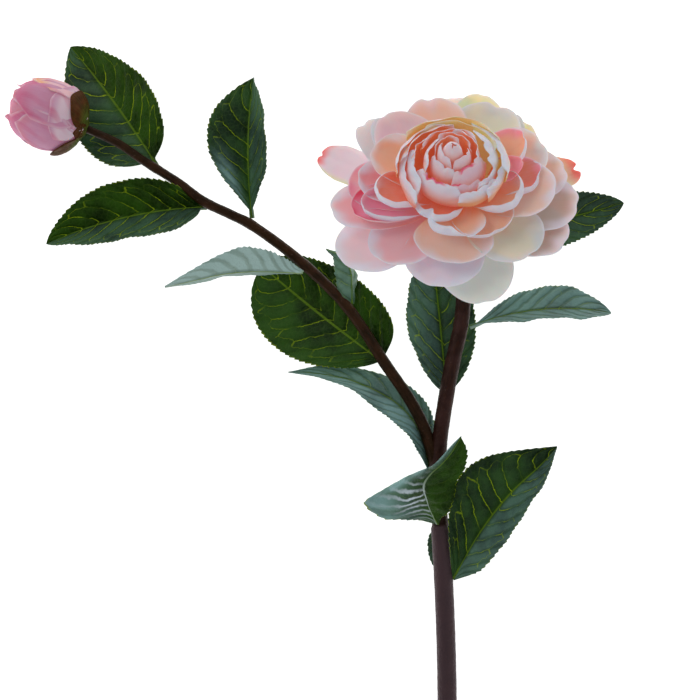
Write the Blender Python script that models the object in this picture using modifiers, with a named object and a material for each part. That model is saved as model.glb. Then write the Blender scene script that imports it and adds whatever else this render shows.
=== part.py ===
"""A cut camellia spray lying on a flat surface.

One double flower, one bud and thirteen leaves grow on a forked stem. Lengths in the tables are
millimetres, angles are degrees. The layout is measured from the fork of the stem: x to the right,
y along the stem towards the flower, z up from the surface that the spray lies on.
"""
import math

import bmesh
import bpy
from mathutils import Matrix, Vector

MM = 0.001

# Where the fork of the stem lies in the object's own frame (origin under the middle of the box).
FORK_X = 52.1
FORK_Y = -13.7

# Stem: centre line and radius of each branch.
TRUNK = [
    (4.7, -158.0, 3.8), (4.7, -130.0, 5.4), (4.6, -106.0, 7.2), (4.0, -80.0, 10.0),
    (2.8, -52.0, 13.0), (1.3, -28.0, 15.5), (0.2, -10.0, 17.5), (0.8, 8.0, 19.0),
    (3.9, 29.6, 20.0), (7.0, 46.0, 20.0), (10.2, 60.0, 19.4), (11.4, 73.0, 18.0),
    (10.6, 88.0, 17.0), (8.9, 99.0, 18.8), (7.9, 107.0, 24.0), (7.7, 111.0, 29.0),
]
BUD_BRANCH = [
    (0.6, -6.0, 18.0), (-5.6, 14.1, 19.8), (-12.6, 27.9, 21.0), (-23.7, 44.2, 22.4),
    (-39.6, 68.0, 23.8), (-60.3, 88.3, 24.8), (-80.2, 103.3, 25.4), (-91.2, 109.1, 25.6),
    (-103.0, 114.8, 25.8), (-114.4, 123.2, 26.0), (-129.6, 132.8, 26.0), (-140.6, 140.3, 26.0),
    (-154.6, 146.8, 26.0),
]
TRUNK_RADIUS = (3.75, 3.15)
BUD_BRANCH_RADIUS = (2.65, 2.35)
STEM_ROUNDNESS = 2
SEAT_GAP = 0.7

# Flower: its centre, and how far its face leans back from straight up.
FLOWER_CENTRE = (7.7, 112.6, 31.0)
FLOWER_TILT = 37.0
RECEPTACLE_PROFILE = [(0.0, 16.0), (4.0, 15.4), (6.6, 0.9), (6.6, -0.6), (3.4, -4.5), (0.0, -5.2)]
HEART_PROFILE = [
    (0.0, 39.0), (6.0, 38.6), (13.0, 37.0), (19.0, 34.6), (23.5, 31.0), (21.5, 27.5),
    (17.0, 22.5), (11.0, 18.8), (4.0, 16.8), (0.0, 16.4),
]
PETAL_THICKNESS = 0.32
PETAL_WIDEST = 0.62
PETAL_CLAW = 0.26
LOWEST_ROOT = 0.9
ROOT_STEP = 0.41
ROOT_RADIUS = 7.0
ROOT_RADIUS_STEP = 0.07

# Petals from the lowest to the innermost: azimuth about the flower's axis, reach of the tip from
# that axis, height of the tip, width, bow of the middle line, cup of the cross-section.
PETALS = [
    (212, 60.0, 1.0, 32, 8, 16), (19, 58.0, 3.0, 20, 6, 14), (157, 65.5, 4.0, 18, 6, 14),
    (283, 52.0, -5.0, 34, 8, 16), (331, 53.5, 5.0, 32, 8, 16), (54, 56.5, 3.0, 24, 8, 16),
    (89, 58.5, 5.5, 28, 6, 14), (259, 48.0, 2.0, 34, 8, 16), (77, 59.5, 7.75, 27, 6, 14),
    (353, 53.5, 7.5, 34, 8, 16), (136, 57.5, 9.0, 26, 8, 16), (226, 50.5, 6.0, 30, 10, 18),
    (61, 53.0, 9.0, 26, 8, 16), (14, 50.0, 11.0, 30, 10, 18), (192, 56.5, 9.5, 30, 10, 18),
    (312, 47.5, 9.0, 34, 9, 18), (127, 55.0, 10.0, 28, 10, 18), (72, 51.0, 11.0, 30, 12, 20),
    (33, 45.5, 15.0, 32, 12, 20), (268, 42.0, 11.0, 36, 12, 20), (98, 48.0, 18.0, 26, 12, 20),
    (178, 48.5, 11.5, 30, 12, 20), (353, 43.5, 16.5, 34, 12, 20), (128, 46.0, 20.0, 30, 12, 20),
    (196, 48.0, 14.5, 24, 12, 20), (199, 43.0, 16.0, 28, 14, 24), (174, 41.0, 20.0, 27, 14, 24),
    (299, 33.5, 15.0, 32, 14, 24), (14, 35.0, 18.5, 26, 14, 24), (44, 35.0, 22.5, 26, 14, 24),
    (158, 38.5, 21.0, 30, 14, 24), (264, 33.0, 18.0, 30, 14, 24), (195, 35.0, 22.5, 30, 14, 26),
    (336, 31.5, 19.5, 32, 14, 26), (245, 26.5, 21.0, 26, 14, 28), (10, 25.5, 26.0, 20, 14, 26),
]

# Leaves: root and tip of the midrib, bow of its middle, rise of the left and the right half
# above the level, width, twist. The root is moved onto the surface of the nearest branch.
LEAVES = [
    ("leaf_by_bud_back", (-123.2, 132.4, 22.0), (-163.9, 185.4, 0.25),
     (0.5, 0.5, -3.0), 3, 30, 42, 0),
    ("leaf_by_bud_left", (-102.0, 112.0, 22.5), (-173.4, 96.6, 14.0),
     (0.2, 3.5, 3.0), 50, 30, 36, 0),
    ("leaf_by_bud_top", (-81.5, 108.0, 24.0), (-81.4, 170.6, 12.0),
     (-2.5, 0.0, 3.0), 15, 60, 36, 0),
    ("leaf_branch_left", (-61.5, 84.0, 24.0), (-120.6, 78.1, 24.0),
     (0.0, 3.7, 2.0), 122, -70, 34, 0),
    ("leaf_branch_back", (-23.0, 43.2, 16.0), (-78.1, 88.9, 0.25),
     (0.0, 0.0, 0.0), 6, 12, 40, 0),
    ("leaf_branch_small", (-36.0, 69.5, 26.0), (-49.7, 93.5, 27.0),
     (4.5, 7.0, 2.0), -75, 115, 20, 0),
    ("leaf_fork_left", (-4.6, -3.5, 16.0), (-66.2, 40.2, 14.0),
     (9.3, 7.5, 0.0), 73, -50, 32, 0),
    ("leaf_fork_back", (4.4, 28.0, 14.0), (-3.9, 91.9, 5.0),
     (0.0, 0.0, -2.0), 35, 8, 34, 0),
    ("leaf_flower_right", (14.6, 59.8, 20.5), (76.6, 65.8, 20.0),
     (0.0, 4.4, 4.0), -42, 75, 32, 0),
    ("leaf_flower_back", (13.5, 97.5, 15.5), (84.0, 115.4, 0.3),
     (0.0, -0.5, 1.5), 10, 10, 25, 0),
    ("leaf_stem_folded", (-1.6, -27.5, 19.0), (9.6, 12.5, 40.0),
     (-10.5, -2.0, 16.0), -55, -25, 50, -140),
    ("leaf_stem_right", (6.6, -52.7, 15.5), (53.6, 6.7, 15.0),
     (-3.1, 2.4, 3.0), 16, 50, 42, 0),
    ("leaf_stem_back", (0.6, -27.5, 10.5), (0.6, -50.0, 3.0),
     (0.0, 0.0, 0.0), 15, 15, 11, 0),
]
LEAF_THICKNESS = 0.45
PETIOLE_SHARE = 0.09
PETIOLE_WIDTH = 2.0
LEAF_TIP_WIDTH = 0.9

# Bud: where its base sits, where it points in plan, and the outline of its furled inner petals.
BUD_BASE = (-153.8, 146.5, 26.0)
BUD_HEADING = 160.0
BUD_PROFILE = [
    (0.0, 34.5), (5.5, 33.8), (9.0, 30.5), (11.5, 25.0), (12.9, 17.0), (12.3, 10.0),
    (9.0, 4.0), (4.0, 1.4), (0.0, 1.2),
]
BUD_MIDDLE = 16.0
BUD_LAYER_GROWTH = 0.045
BUD_STEP = 15


def clear_scene():
    for old in list(bpy.data.objects):
        bpy.data.objects.remove(old, do_unlink=True)


def new_collection(name):
    collection = bpy.data.collections.new(name)
    bpy.context.scene.collection.children.link(collection)
    return collection


def new_material(name, colour, roughness):
    material = bpy.data.materials.new(name)
    material.use_nodes = True
    shader = material.node_tree.nodes["Principled BSDF"]
    shader.inputs["Base Color"].default_value = (*colour, 1.0)
    shader.inputs["Roughness"].default_value = roughness
    shader.inputs["Metallic"].default_value = 0.0
    return material


def new_empty(name, location, matrix, collection):
    """A frame for the pieces that are modelled about their own axis."""
    empty = bpy.data.objects.new(name, None)
    collection.objects.link(empty)
    empty.matrix_world = Matrix.Translation(location) @ matrix.to_4x4()
    return empty


def placed(point):
    """A point of the layout, as metres in the object's frame."""
    return Vector((point[0] + FORK_X, point[1] + FORK_Y, point[2])) * MM


def add_object(name, mesh, collection, material):
    mesh.materials.append(material)
    mesh.shade_smooth()
    piece = bpy.data.objects.new(name, mesh)
    collection.objects.link(piece)
    return piece


def add_sheet(name, rows, thickness, collection, material):
    """A thin closed solid: an open surface through rows of points, given its thickness."""
    mesh = bpy.data.meshes.new(name)
    build = bmesh.new()
    grid = [[build.verts.new(point) for point in row] for row in rows]
    for lower, upper in zip(grid, grid[1:]):
        for i in range(len(lower) - 1):
            build.faces.new((lower[i], lower[i + 1], upper[i + 1], upper[i]))
    build.to_mesh(mesh)
    build.free()
    piece = add_object(name, mesh, collection, material)
    solidify = piece.modifiers.new("thickness", "SOLIDIFY")
    solidify.thickness = thickness * MM
    solidify.offset = 0.0
    return piece


def add_turned(name, profile, steps, collection, material):
    """A solid of revolution about Z from (radius, height) pairs, top to bottom."""
    mesh = bpy.data.meshes.new(name)
    points = [(radius * MM, 0.0, height * MM) for radius, height in profile]
    edges = [(i, i + 1) for i in range(len(points) - 1)]
    mesh.from_pydata(points, edges, [])
    piece = add_object(name, mesh, collection, material)
    screw = piece.modifiers.new("turn", "SCREW")
    screw.steps = steps
    screw.render_steps = steps
    screw.use_merge_vertices = True
    screw.merge_threshold = 0.0001
    return piece


def evaluated_mesh(piece):
    bpy.context.view_layer.update()
    return bpy.data.meshes.new_from_object(piece.evaluated_get(bpy.context.evaluated_depsgraph_get()))


def smooth_path(points, steps):
    """Points of the smooth curve (Catmull-Rom) that runs through the given ones."""
    given = [Vector(point) for point in points]
    given = [2 * given[0] - given[1]] + given + [2 * given[-1] - given[-2]]
    path = []
    for before, start, end, after in zip(given, given[1:], given[2:], given[3:]):
        for step in range(steps):
            t = step / steps
            path.append(0.5 * (2 * start + (end - before) * t
                               + (2 * before - 5 * start + 4 * end - after) * t ** 2
                               + (3 * start - before - 3 * end + after) * t ** 3))
    path.append(given[-2])
    return path


def tube_mesh(name, points, radii, resolution):
    """A closed round tube along a path, thinning from the first radius to the second."""
    curve = bpy.data.curves.new(name, "CURVE")
    curve.dimensions = "3D"
    curve.bevel_depth = MM
    curve.bevel_resolution = resolution
    curve.use_fill_caps = True
    spline = curve.splines.new("POLY")
    spline.points.add(len(points) - 1)
    for i, (knot, point) in enumerate(zip(spline.points, points)):
        share = i / (len(points) - 1)
        knot.co = (*placed(point), 1.0)
        knot.radius = radii[0] + (radii[1] - radii[0]) * share
    guide = bpy.data.objects.new(name, curve)
    bpy.context.scene.collection.objects.link(guide)
    mesh = evaluated_mesh(guide)
    bpy.data.objects.remove(guide)
    build = bmesh.new()
    build.from_mesh(mesh)
    bmesh.ops.remove_doubles(build, verts=build.verts, dist=0.00001)
    build.to_mesh(mesh)
    build.free()
    return mesh


def join_solid(base, cutter, cutters):
    """Unites a second solid with the first, and keeps it as a guide."""
    for collection in list(cutter.users_collection):
        collection.objects.unlink(cutter)
    cutters.objects.link(cutter)
    cutter.hide_render = True
    cutter.display_type = "WIRE"
    union = base.modifiers.new(cutter.name, "BOOLEAN")
    union.operation = "UNION"
    union.solver = "EXACT"
    union.object = cutter


def flower_frame():
    return Matrix.Rotation(math.radians(-FLOWER_TILT), 3, "X")


def make_stem(parts, cutters, bark):
    """The forked stem and the receptacle of the flower, grown as one piece."""
    trunk_mesh = tube_mesh("stem", smooth_path(TRUNK, 2), TRUNK_RADIUS, STEM_ROUNDNESS)
    stem = add_object("stem", trunk_mesh, parts, bark)
    branch_mesh = tube_mesh("bud_branch", smooth_path(BUD_BRANCH, 2), BUD_BRANCH_RADIUS, STEM_ROUNDNESS)
    branch = add_object("bud_branch", branch_mesh, parts, bark)
    receptacle = add_turned("receptacle", RECEPTACLE_PROFILE, 12, parts, bark)
    receptacle.matrix_world = Matrix.Translation(placed(FLOWER_CENTRE)) @ flower_frame().to_4x4()
    join_solid(stem, branch, cutters)
    join_solid(stem, receptacle, cutters)


def arc_point(start, end, bow, share):
    """A point of the arc from start to end that turns by twice the bow, and its heading there."""
    chord = end - start
    heading = math.atan2(chord.y, chord.x) - bow + 2 * bow * share
    first = math.atan2(chord.y, chord.x) - bow
    radius = chord.length / (2 * math.sin(bow))
    point = start + radius * Vector((math.sin(heading) - math.sin(first),
                                     math.cos(first) - math.cos(heading)))
    return point, heading


def petal_outline(rows_below, rows_above, columns):
    """Rows of (share along, share across) that fill a spoon outline with a round tip."""
    across = [2 * i / columns - 1 for i in range(columns + 1)]
    rows = []
    for i in range(rows_below):
        share = i / rows_below
        half = PETAL_CLAW + (1 - PETAL_CLAW) * math.sin(share * math.pi / 2) ** 1.2
        rows.append([(PETAL_WIDEST * share, half * x) for x in across])
    for i in range(rows_above + 1):
        y = i / rows_above
        rows.append([(PETAL_WIDEST + (1 - PETAL_WIDEST) * y * math.sqrt(1 - x * x / 2),
                      x * math.sqrt(1 - y * y / 2)) for x in across])
    return rows


def petal_rows(root, tip, width, bow, cup, outline):
    """Points of a cupped petal that leaves the axis along local +X and rises along +Z."""
    half = width / 2
    cup_radius = half / cup
    rows = []
    for outline_row in outline:
        row = []
        for along, across in outline_row:
            centre, heading = arc_point(root, tip, bow, along)
            turn = half * across / cup_radius
            lift = cup_radius * (1 - math.cos(turn))
            row.append(Vector((centre.x - math.sin(heading) * lift,
                               cup_radius * math.sin(turn),
                               centre.y + math.cos(heading) * lift)) * MM)
        rows.append(row)
    return rows


def make_petals(parts, outer, inner):
    """The petals, rooted one above the other up the receptacle."""
    axis = new_empty("flower_axis", placed(FLOWER_CENTRE), flower_frame(), parts)
    outline = petal_outline(3, 2, 4)
    for i, (azimuth, reach, rise, width, bow, cup) in enumerate(PETALS):
        root = Vector((ROOT_RADIUS - ROOT_RADIUS_STEP * i, LOWEST_ROOT + ROOT_STEP * i))
        rows = petal_rows(root, Vector((reach, rise)), width, math.radians(bow),
                          math.radians(cup), outline)
        material = outer if i < len(PETALS) // 2 else inner
        petal = add_sheet(f"petal_{i + 1:02d}", rows, PETAL_THICKNESS, parts, material)
        petal.parent = axis
        petal.rotation_euler.z = math.radians(azimuth)
    heart = add_turned("flower_heart", HEART_PROFILE, 16, parts, inner)
    heart.parent = axis
    return axis


def make_calyx(axis, parts, material):
    """The ring of five blunt lobes under the petals."""
    rows = []
    for radius_share, drop in ((0.0, -2.6), (0.5, -3.6), (1.0, -4.8)):
        row = []
        for i in range(21):
            angle = 2 * math.pi * i / 20
            reach = 10.0 + 4.0 * abs(math.cos(2.5 * angle))
            radius = 5.9 + (reach - 5.9) * radius_share
            row.append(Vector((radius * math.cos(angle), radius * math.sin(angle), drop)) * MM)
        rows.append(row)
    calyx = add_sheet("flower_calyx", rows, 0.5, parts, material)
    weld = calyx.modifiers.new("close_ring", "WELD")
    weld.merge_threshold = 0.00001
    calyx.modifiers.move(1, 0)
    calyx.parent = axis


def profile_radius(height):
    """Radius of the furled bud at a height above its base."""
    for (r_top, z_top), (r_low, z_low) in zip(BUD_PROFILE, BUD_PROFILE[1:]):
        if z_low <= height <= z_top:
            return r_low + (r_top - r_low) * (height - z_low) / (z_top - z_low)
    return BUD_PROFILE[-2][0]


def bud_patch(name, centre, half_span, low, high, layer, axis, parts, material):
    """A piece of the bud's outside, wrapped round it a given number of layers out."""
    rows = []
    count = int(2 * half_span / BUD_STEP)
    between = sorted(height for _, height in BUD_PROFILE if low < height < high)
    growth = 1 + BUD_LAYER_GROWTH * layer
    for height in (low, *between, high):
        radius = growth * profile_radius(height)
        level = BUD_MIDDLE + growth * (height - BUD_MIDDLE)
        row = []
        for j in range(count + 1):
            angle = math.radians(centre - half_span + BUD_STEP * j)
            row.append(Vector((radius * math.cos(angle), radius * math.sin(angle), level)) * MM)
        rows.append(row)
    patch = add_sheet(name, rows, 0.3, parts, material)
    patch.parent = axis


def make_bud(parts, petal, calyx):
    """The closed bud: furled inner petals, four wrapped petals and three scales."""
    heading = Matrix.Rotation(math.radians(BUD_HEADING), 3, "Z")
    lie_down = Matrix.Rotation(math.radians(90), 3, "Y")
    axis = new_empty("bud_axis", placed(BUD_BASE), heading @ lie_down, parts)
    heart = add_turned("bud_heart", BUD_PROFILE, 24, parts, petal)
    heart.parent = axis
    for i, centre in enumerate((0, 90, 180, 270)):
        bud_patch(f"bud_petal_{i + 1}", centre, 60, 3.0, 32.0, i + 1, axis, parts, petal)
    for i, (centre, layer) in enumerate(((60, 3), (180, 5), (300, 5))):
        bud_patch(f"bud_sepal_{i + 1}", centre, 45, 1.6, 12.0, layer, axis, parts, calyx)


def seat_on_branch(point):
    """The point moved to just off the surface of the nearest branch, with its side kept."""
    best = None
    for centre_line, radii in ((TRUNK, TRUNK_RADIUS), (BUD_BRANCH, BUD_BRANCH_RADIUS)):
        path = smooth_path(centre_line, 8)
        for i in range(len(path) - 1):
            start, end = path[i], path[i + 1]
            step = end - start
            share = max(0.0, min(1.0, (point - start).dot(step) / step.length_squared))
            foot = start + step * share
            radius = radii[0] + (radii[1] - radii[0]) * i / len(path)
            gap = (point - foot).length - radius
            if best is None or gap < best[0]:
                best = (gap, foot, radius)
    gap, foot, radius = best
    return foot + (point - foot).normalized() * (radius + SEAT_GAP)


def leaf_half_width(share, width):
    """Half the width of a leaf: a thin stalk, then a broad blade with a pointed tip."""
    blade = (share - PETIOLE_SHARE) / (1 - PETIOLE_SHARE)
    if blade <= 0:
        return PETIOLE_WIDTH / 2
    shape = 2.72 * blade ** 0.7 * (1 - blade) ** 0.95
    narrowest = PETIOLE_WIDTH + (LEAF_TIP_WIDTH - PETIOLE_WIDTH) * blade
    return max(width * shape, narrowest) / 2


def leaf_rows(root, tip, bow, left, right, width, twist, shares, across):
    """Points of a leaf folded along its midrib and twisted about it."""
    bend = (root + tip) / 2 + 2 * bow
    rows = []
    for share in shares:
        midrib = root.lerp(bend, share).lerp(bend.lerp(tip, share), share)
        along = (bend.lerp(tip, share) - root.lerp(bend, share)).normalized()
        up = (Vector((0, 0, 1)) - along * along.z).normalized()
        side = along.cross(up)
        half = leaf_half_width(share, width)
        row = []
        for x in across:
            turned = twist * (share - 0.5)
            rise = right - turned if x > 0 else left + turned
            outward = side * (math.cos(rise) * x) + up * (math.sin(rise) * abs(x))
            row.append(placed(midrib + outward * half))
        rows.append(row)
    return rows


def make_leaves(parts, material):
    shares = (0.0, PETIOLE_SHARE, 0.2, 0.34, 0.5, 0.66, 0.82, 1.0)
    across = (-1.0, -0.5, 0.0, 0.5, 1.0)
    for name, root, tip, bow, left, right, width, twist in LEAVES:
        rows = leaf_rows(seat_on_branch(Vector(root)), Vector(tip), Vector(bow), math.radians(left),
                         math.radians(right), width, math.radians(twist), shares, across)
        add_sheet(name, rows, LEAF_THICKNESS, parts, material)


def main():
    clear_scene()
    parts = new_collection("camellia_spray")
    cutters = new_collection("cutters")
    bark = new_material("bark", (0.09, 0.035, 0.03), 0.6)
    leaf = new_material("leaf", (0.02, 0.07, 0.03), 0.35)
    outer_petal = new_material("petal_outer", (0.85, 0.68, 0.64), 0.6)
    inner_petal = new_material("petal_inner", (0.86, 0.45, 0.36), 0.6)
    bud_petal = new_material("bud_petal", (0.74, 0.36, 0.45), 0.6)
    calyx = new_material("calyx", (0.10, 0.09, 0.03), 0.5)
    make_stem(parts, cutters, bark)
    axis = make_petals(parts, outer_petal, inner_petal)
    make_calyx(axis, parts, calyx)
    make_bud(parts, bud_petal, calyx)
    make_leaves(parts, leaf)


main()
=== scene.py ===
"""Looks of the camellia spray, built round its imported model.

Lengths in the tables are millimetres and angles are degrees. The layout is measured from the fork
of the stem, as in the part's own source: x to the right, y along the stem, z up from the floor.
"""

import math
from types import SimpleNamespace

import bpy
import numpy as np
from mathutils import Matrix, Vector

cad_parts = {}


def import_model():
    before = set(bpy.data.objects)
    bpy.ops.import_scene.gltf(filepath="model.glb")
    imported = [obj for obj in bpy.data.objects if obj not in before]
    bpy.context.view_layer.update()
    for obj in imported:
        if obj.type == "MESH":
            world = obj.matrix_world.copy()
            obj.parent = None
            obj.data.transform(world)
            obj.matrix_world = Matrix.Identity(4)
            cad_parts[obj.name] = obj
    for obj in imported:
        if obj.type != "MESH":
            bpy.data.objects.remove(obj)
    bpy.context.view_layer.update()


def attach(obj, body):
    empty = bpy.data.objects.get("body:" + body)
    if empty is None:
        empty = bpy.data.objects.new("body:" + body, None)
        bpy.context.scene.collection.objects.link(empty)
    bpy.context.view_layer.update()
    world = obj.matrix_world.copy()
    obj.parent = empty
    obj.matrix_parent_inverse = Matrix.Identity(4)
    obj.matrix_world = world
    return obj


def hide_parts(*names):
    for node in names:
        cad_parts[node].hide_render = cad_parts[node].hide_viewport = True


MM = 0.001
FORK = Vector((52.1, -13.7, 0.0))

# Camera: over the spray, looking straight down; its place in metres.
CAMERA_OVER = (0.0134, 0.0358)
CAMERA_HEIGHT = 1.308
CAMERA_LENS = 150.0

# Stage: glow of the sky, size of the floor, and each lamp's place, size, power and colour, in
# metres and watts.
HORIZON_GLOW = 0.56
ZENITH_GLOW = 0.30
SKY_COLOUR = (0.96, 0.98, 1.0, 1.0)
FLOOR_SIZE = 6.0
LAMPS = {
    "key": ((-0.7, 0.6, 0.9), 0.7, 2.8, (1.0, 0.98, 0.96)),
    "fill": ((0.7, -0.5, 1.1), 0.9, 1.4, (0.95, 0.98, 1.0)),
}
LAMPS_AIM = Vector((0.0, 0.05, 0.03))

# Stem: centre lines of the two branches, and their radii at the first and the last point.
TRUNK = [
    (4.7, -158.0, 3.8), (4.7, -130.0, 5.4), (4.6, -106.0, 7.2), (4.0, -80.0, 10.0),
    (2.8, -52.0, 13.0), (1.3, -28.0, 15.5), (0.2, -10.0, 17.5), (0.8, 8.0, 19.0),
    (3.9, 29.6, 20.0), (7.0, 46.0, 20.0), (10.2, 60.0, 19.4), (11.4, 73.0, 18.0),
    (10.6, 88.0, 17.0), (8.9, 99.0, 18.8), (7.9, 107.0, 24.0), (7.7, 111.0, 29.0),
]
BUD_BRANCH = [
    (0.6, -6.0, 18.0), (-5.6, 14.1, 19.8), (-12.6, 27.9, 21.0), (-23.7, 44.2, 22.4),
    (-39.6, 68.0, 23.8), (-60.3, 88.3, 24.8), (-80.2, 103.3, 25.4), (-91.2, 109.1, 25.6),
    (-103.0, 114.8, 25.8), (-114.4, 123.2, 26.0), (-129.6, 132.8, 26.0), (-140.6, 140.3, 26.0),
    (-154.6, 146.8, 26.0),
]
TRUNK_RADIUS = (3.75, 3.15)
BUD_BRANCH_RADIUS = (2.75, 1.75)
BRANCHES = ((TRUNK, TRUNK_RADIUS), (BUD_BRANCH, BUD_BRANCH_RADIUS))
# The swelling at the fork: its place, growth and spread.
FORK_SWELLING = ((1.0, -6.0, 17.8), 0.9, 7.0)
# The lower stem has a thicker sleeve of bark, up to this y.
SLEEVE_END = -29.0
SLEEVE_THICKNESS = 0.65
# Where a leaf's stalk starts: how far off the bark, and the growth and spread of the swelling there.
SEAT_GAP = 0.7
LEAF_SWELLING = (0.35, 3.0)

# Flower: its centre, and how its face leans back from straight up.
FLOWER_CENTRE = Vector((7.7, 112.6, 31.0))
FLOWER_TURNS = ((-37.0, "X"),)
PETAL_THICKNESS = 0.3
# Rows below and above the widest place of a petal, and columns.
PETAL_GRID = (16, 20, 32)
HEART_GRID = (12, 20, 36)
# Width of a petal's foot, as a share of its greatest width.
PETAL_CLAW = 0.26
# How far the rim's ripples go in and out, and up and down.
PETAL_RAGGED = 0.3
PETAL_WAVE = 0.45
# Share of the way to the rim where its roll starts.
ROLL_START = 0.62
# Ripples round the rims of petals and of the heart's petals: count, strength and seed.
PETAL_RIPPLES = ((2, 1.0, 1), (4, 0.7, 2), (9, 0.35, 5))
HEART_RIPPLES = ((2, 1.0, 3), (5, 0.7, 4), (11, 0.4, 5))
# The petals' roots climb and draw in from one petal to the next.
LOWEST_ROOT = 0.9
ROOT_STEP = 0.41
ROOT_RADIUS = 7.0
ROOT_RADIUS_STEP = 0.07

# Colours of petals, as red, green and blue from 0 to 255.
COLOURS = {
    "orange": (240, 142, 90), "amber": (242, 168, 114), "coral": (242, 146, 120),
    "peach": (242, 182, 152), "apricot": (236, 196, 178), "rose": (238, 154, 158),
    "rosy": (236, 184, 190), "pink": (240, 148, 172), "hot": (234, 84, 116),
    "blush": (232, 208, 214), "mauve": (226, 196, 208), "pearl": (224, 216, 226),
    "white": (222, 224, 236), "mint": (212, 226, 220), "fog": (208, 214, 216),
    "lime": (222, 226, 186), "butter": (234, 210, 136), "cream": (228, 220, 198),
    "greige": (196, 184, 170), "red": (240, 80, 84), "bud_rose": (206, 124, 146),
    "bud_pink": (200, 92, 132), "bud_mauve": (202, 138, 168),
}

# Petals from the lowest to the innermost: azimuth about the flower's axis, reach and height of
# the tip, width, where it is widest, bow, cup | roll of the rim (inwards if positive), the side where
# it rolls more (-1 clockwise, 1 counter-clockwise, 0 neither), notch of the tip | colours of the base,
# the middle and the rim inside, and of the outside.
PETALS = [
    (212, 60.0, 1.0, 32, 0.62, 8, 16, 12, 0, 0.5, "rosy", "blush", "white", "white"),
    (19, 58.0, 3.0, 20, 0.80, 6, 14, 25, 0, 3.0, "lime", "lime", "lime", "lime"),
    (157, 65.5, 4.0, 21, 0.80, 6, 14, 25, 0, 1.6, "blush", "pearl", "pearl", "lime"),
    (283, 52.0, -5.0, 34, 0.62, 8, 16, 8, 0, 0.8, "fog", "mint", "mint", "mint"),
    (331, 53.5, 5.0, 32, 0.62, 8, 16, 8, 0, 0.8, "greige", "greige", "pearl", "pearl"),
    (54, 56.5, 3.0, 24, 0.62, 8, 16, 10, 0, 1.0, "butter", "lime", "lime", "lime"),
    (89, 58.5, 5.5, 28, 0.62, 6, 14, 10, 0, 1.0, "lime", "cream", "fog", "cream"),
    (259, 48.0, 2.0, 36, 0.62, 8, 16, 8, 0, 0.5, "rosy", "pearl", "white", "white"),
    (77, 59.5, 7.75, 27, 0.62, 6, 14, 10, 0, 1.0, "butter", "lime", "lime", "lime"),
    (353, 53.5, 7.5, 34, 0.62, 8, 16, 12, 0, 1.0, "peach", "greige", "pearl", "pearl"),
    (136, 57.5, 9.0, 26, 0.62, 8, 16, 15, 0, 1.0, "greige", "fog", "fog", "fog"),
    (226, 50.5, 6.0, 30, 0.62, 10, 18, 30, 0, 0.6, "coral", "rosy", "white", "pearl"),
    (61, 53.0, 9.0, 26, 0.62, 8, 16, 12, 0, 1.5, "butter", "lime", "fog", "lime"),
    (14, 50.0, 11.0, 30, 0.62, 10, 18, 15, 0, 1.0, "peach", "apricot", "pearl", "pearl"),
    (192, 56.5, 9.5, 30, 0.62, 10, 18, 25, 0, 0.6, "coral", "rosy", "white", "blush"),
    (312, 47.5, 9.0, 34, 0.62, 9, 18, 12, 0, 1.2, "peach", "cream", "fog", "fog"),
    (127, 55.0, 10.0, 28, 0.62, 10, 18, 15, 0, 1.0, "rosy", "mauve", "fog", "pearl"),
    (68, 51.5, 13.0, 34, 0.62, 12, 20, 20, 0, 1.5, "butter", "cream", "fog", "mint"),
    (33, 45.5, 15.0, 32, 0.62, 12, 20, 20, 0, 1.0, "peach", "apricot", "fog", "cream"),
    (266, 42.5, 11.0, 36, 0.62, 12, 20, 20, 0, 0.6, "peach", "apricot", "pearl", "pearl"),
    (104, 50.0, 17.0, 30, 0.62, 12, 20, 20, 0, 1.2, "peach", "apricot", "blush", "pearl"),
    (178, 48.5, 11.5, 30, 0.62, 12, 20, 30, 0, 0.6, "coral", "rosy", "pink", "blush"),
    (353, 43.5, 16.5, 34, 0.62, 12, 20, 20, 0, 0.6, "peach", "apricot", "pearl", "blush"),
    (133, 47.0, 20.0, 30, 0.62, 12, 20, 20, 0, 1.0, "rose", "mauve", "blush", "blush"),
    (197, 49.5, 13.0, 26, 0.62, 12, 20, 60, 0, 0.6, "hot", "pink", "hot", "rosy"),
    (199, 47.0, 15.0, 26, 0.60, 14, 24, 110, 0, 0.6, "coral", "pink", "blush", "white"),
    (178, 44.5, 15.5, 28, 0.62, 14, 24, 45, 0, 0.6, "orange", "rose", "white", "blush"),
    (299, 35.0, 15.0, 32, 0.62, 14, 24, 60, 0, 1.2, "orange", "peach", "pearl", "pearl"),
    (5, 39.0, 16.5, 26, 0.60, 14, 24, 100, -1, 0.6, "orange", "coral", "pink", "white"),
    (34, 38.5, 23.0, 24, 0.60, 14, 24, 100, -1, 0.6, "orange", "peach", "pink", "white"),
    (158, 41.0, 20.5, 30, 0.62, 14, 24, 45, 0, 0.6, "orange", "peach", "white", "blush"),
    (264, 34.5, 17.5, 30, 0.60, 14, 24, 130, -1, 1.2, "orange", "peach", "white", "white"),
    (196, 40.5, 21.0, 27, 0.60, 14, 26, 120, 0, 0.6, "orange", "coral", "white", "white"),
    (336, 33.0, 19.5, 32, 0.58, 14, 26, 120, 0, 0.8, "orange", "peach", "white", "white"),
    (240, 29.5, 19.5, 28, 0.56, 14, 28, 120, 0, 4.0, "orange", "coral", "white", "white"),
    (8, 30.0, 24.0, 16, 0.60, 14, 26, 60, 0, 0.6, "coral", "pink", "pink", "pink"),
]
# Stains of the two stray petals: colour, side (0 at the tip) and spread.
STAINS = {2: [("red", 0, 0.2)], 3: [("lime", 1, 0.45), ("red", 0, 0.09)]}

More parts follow.
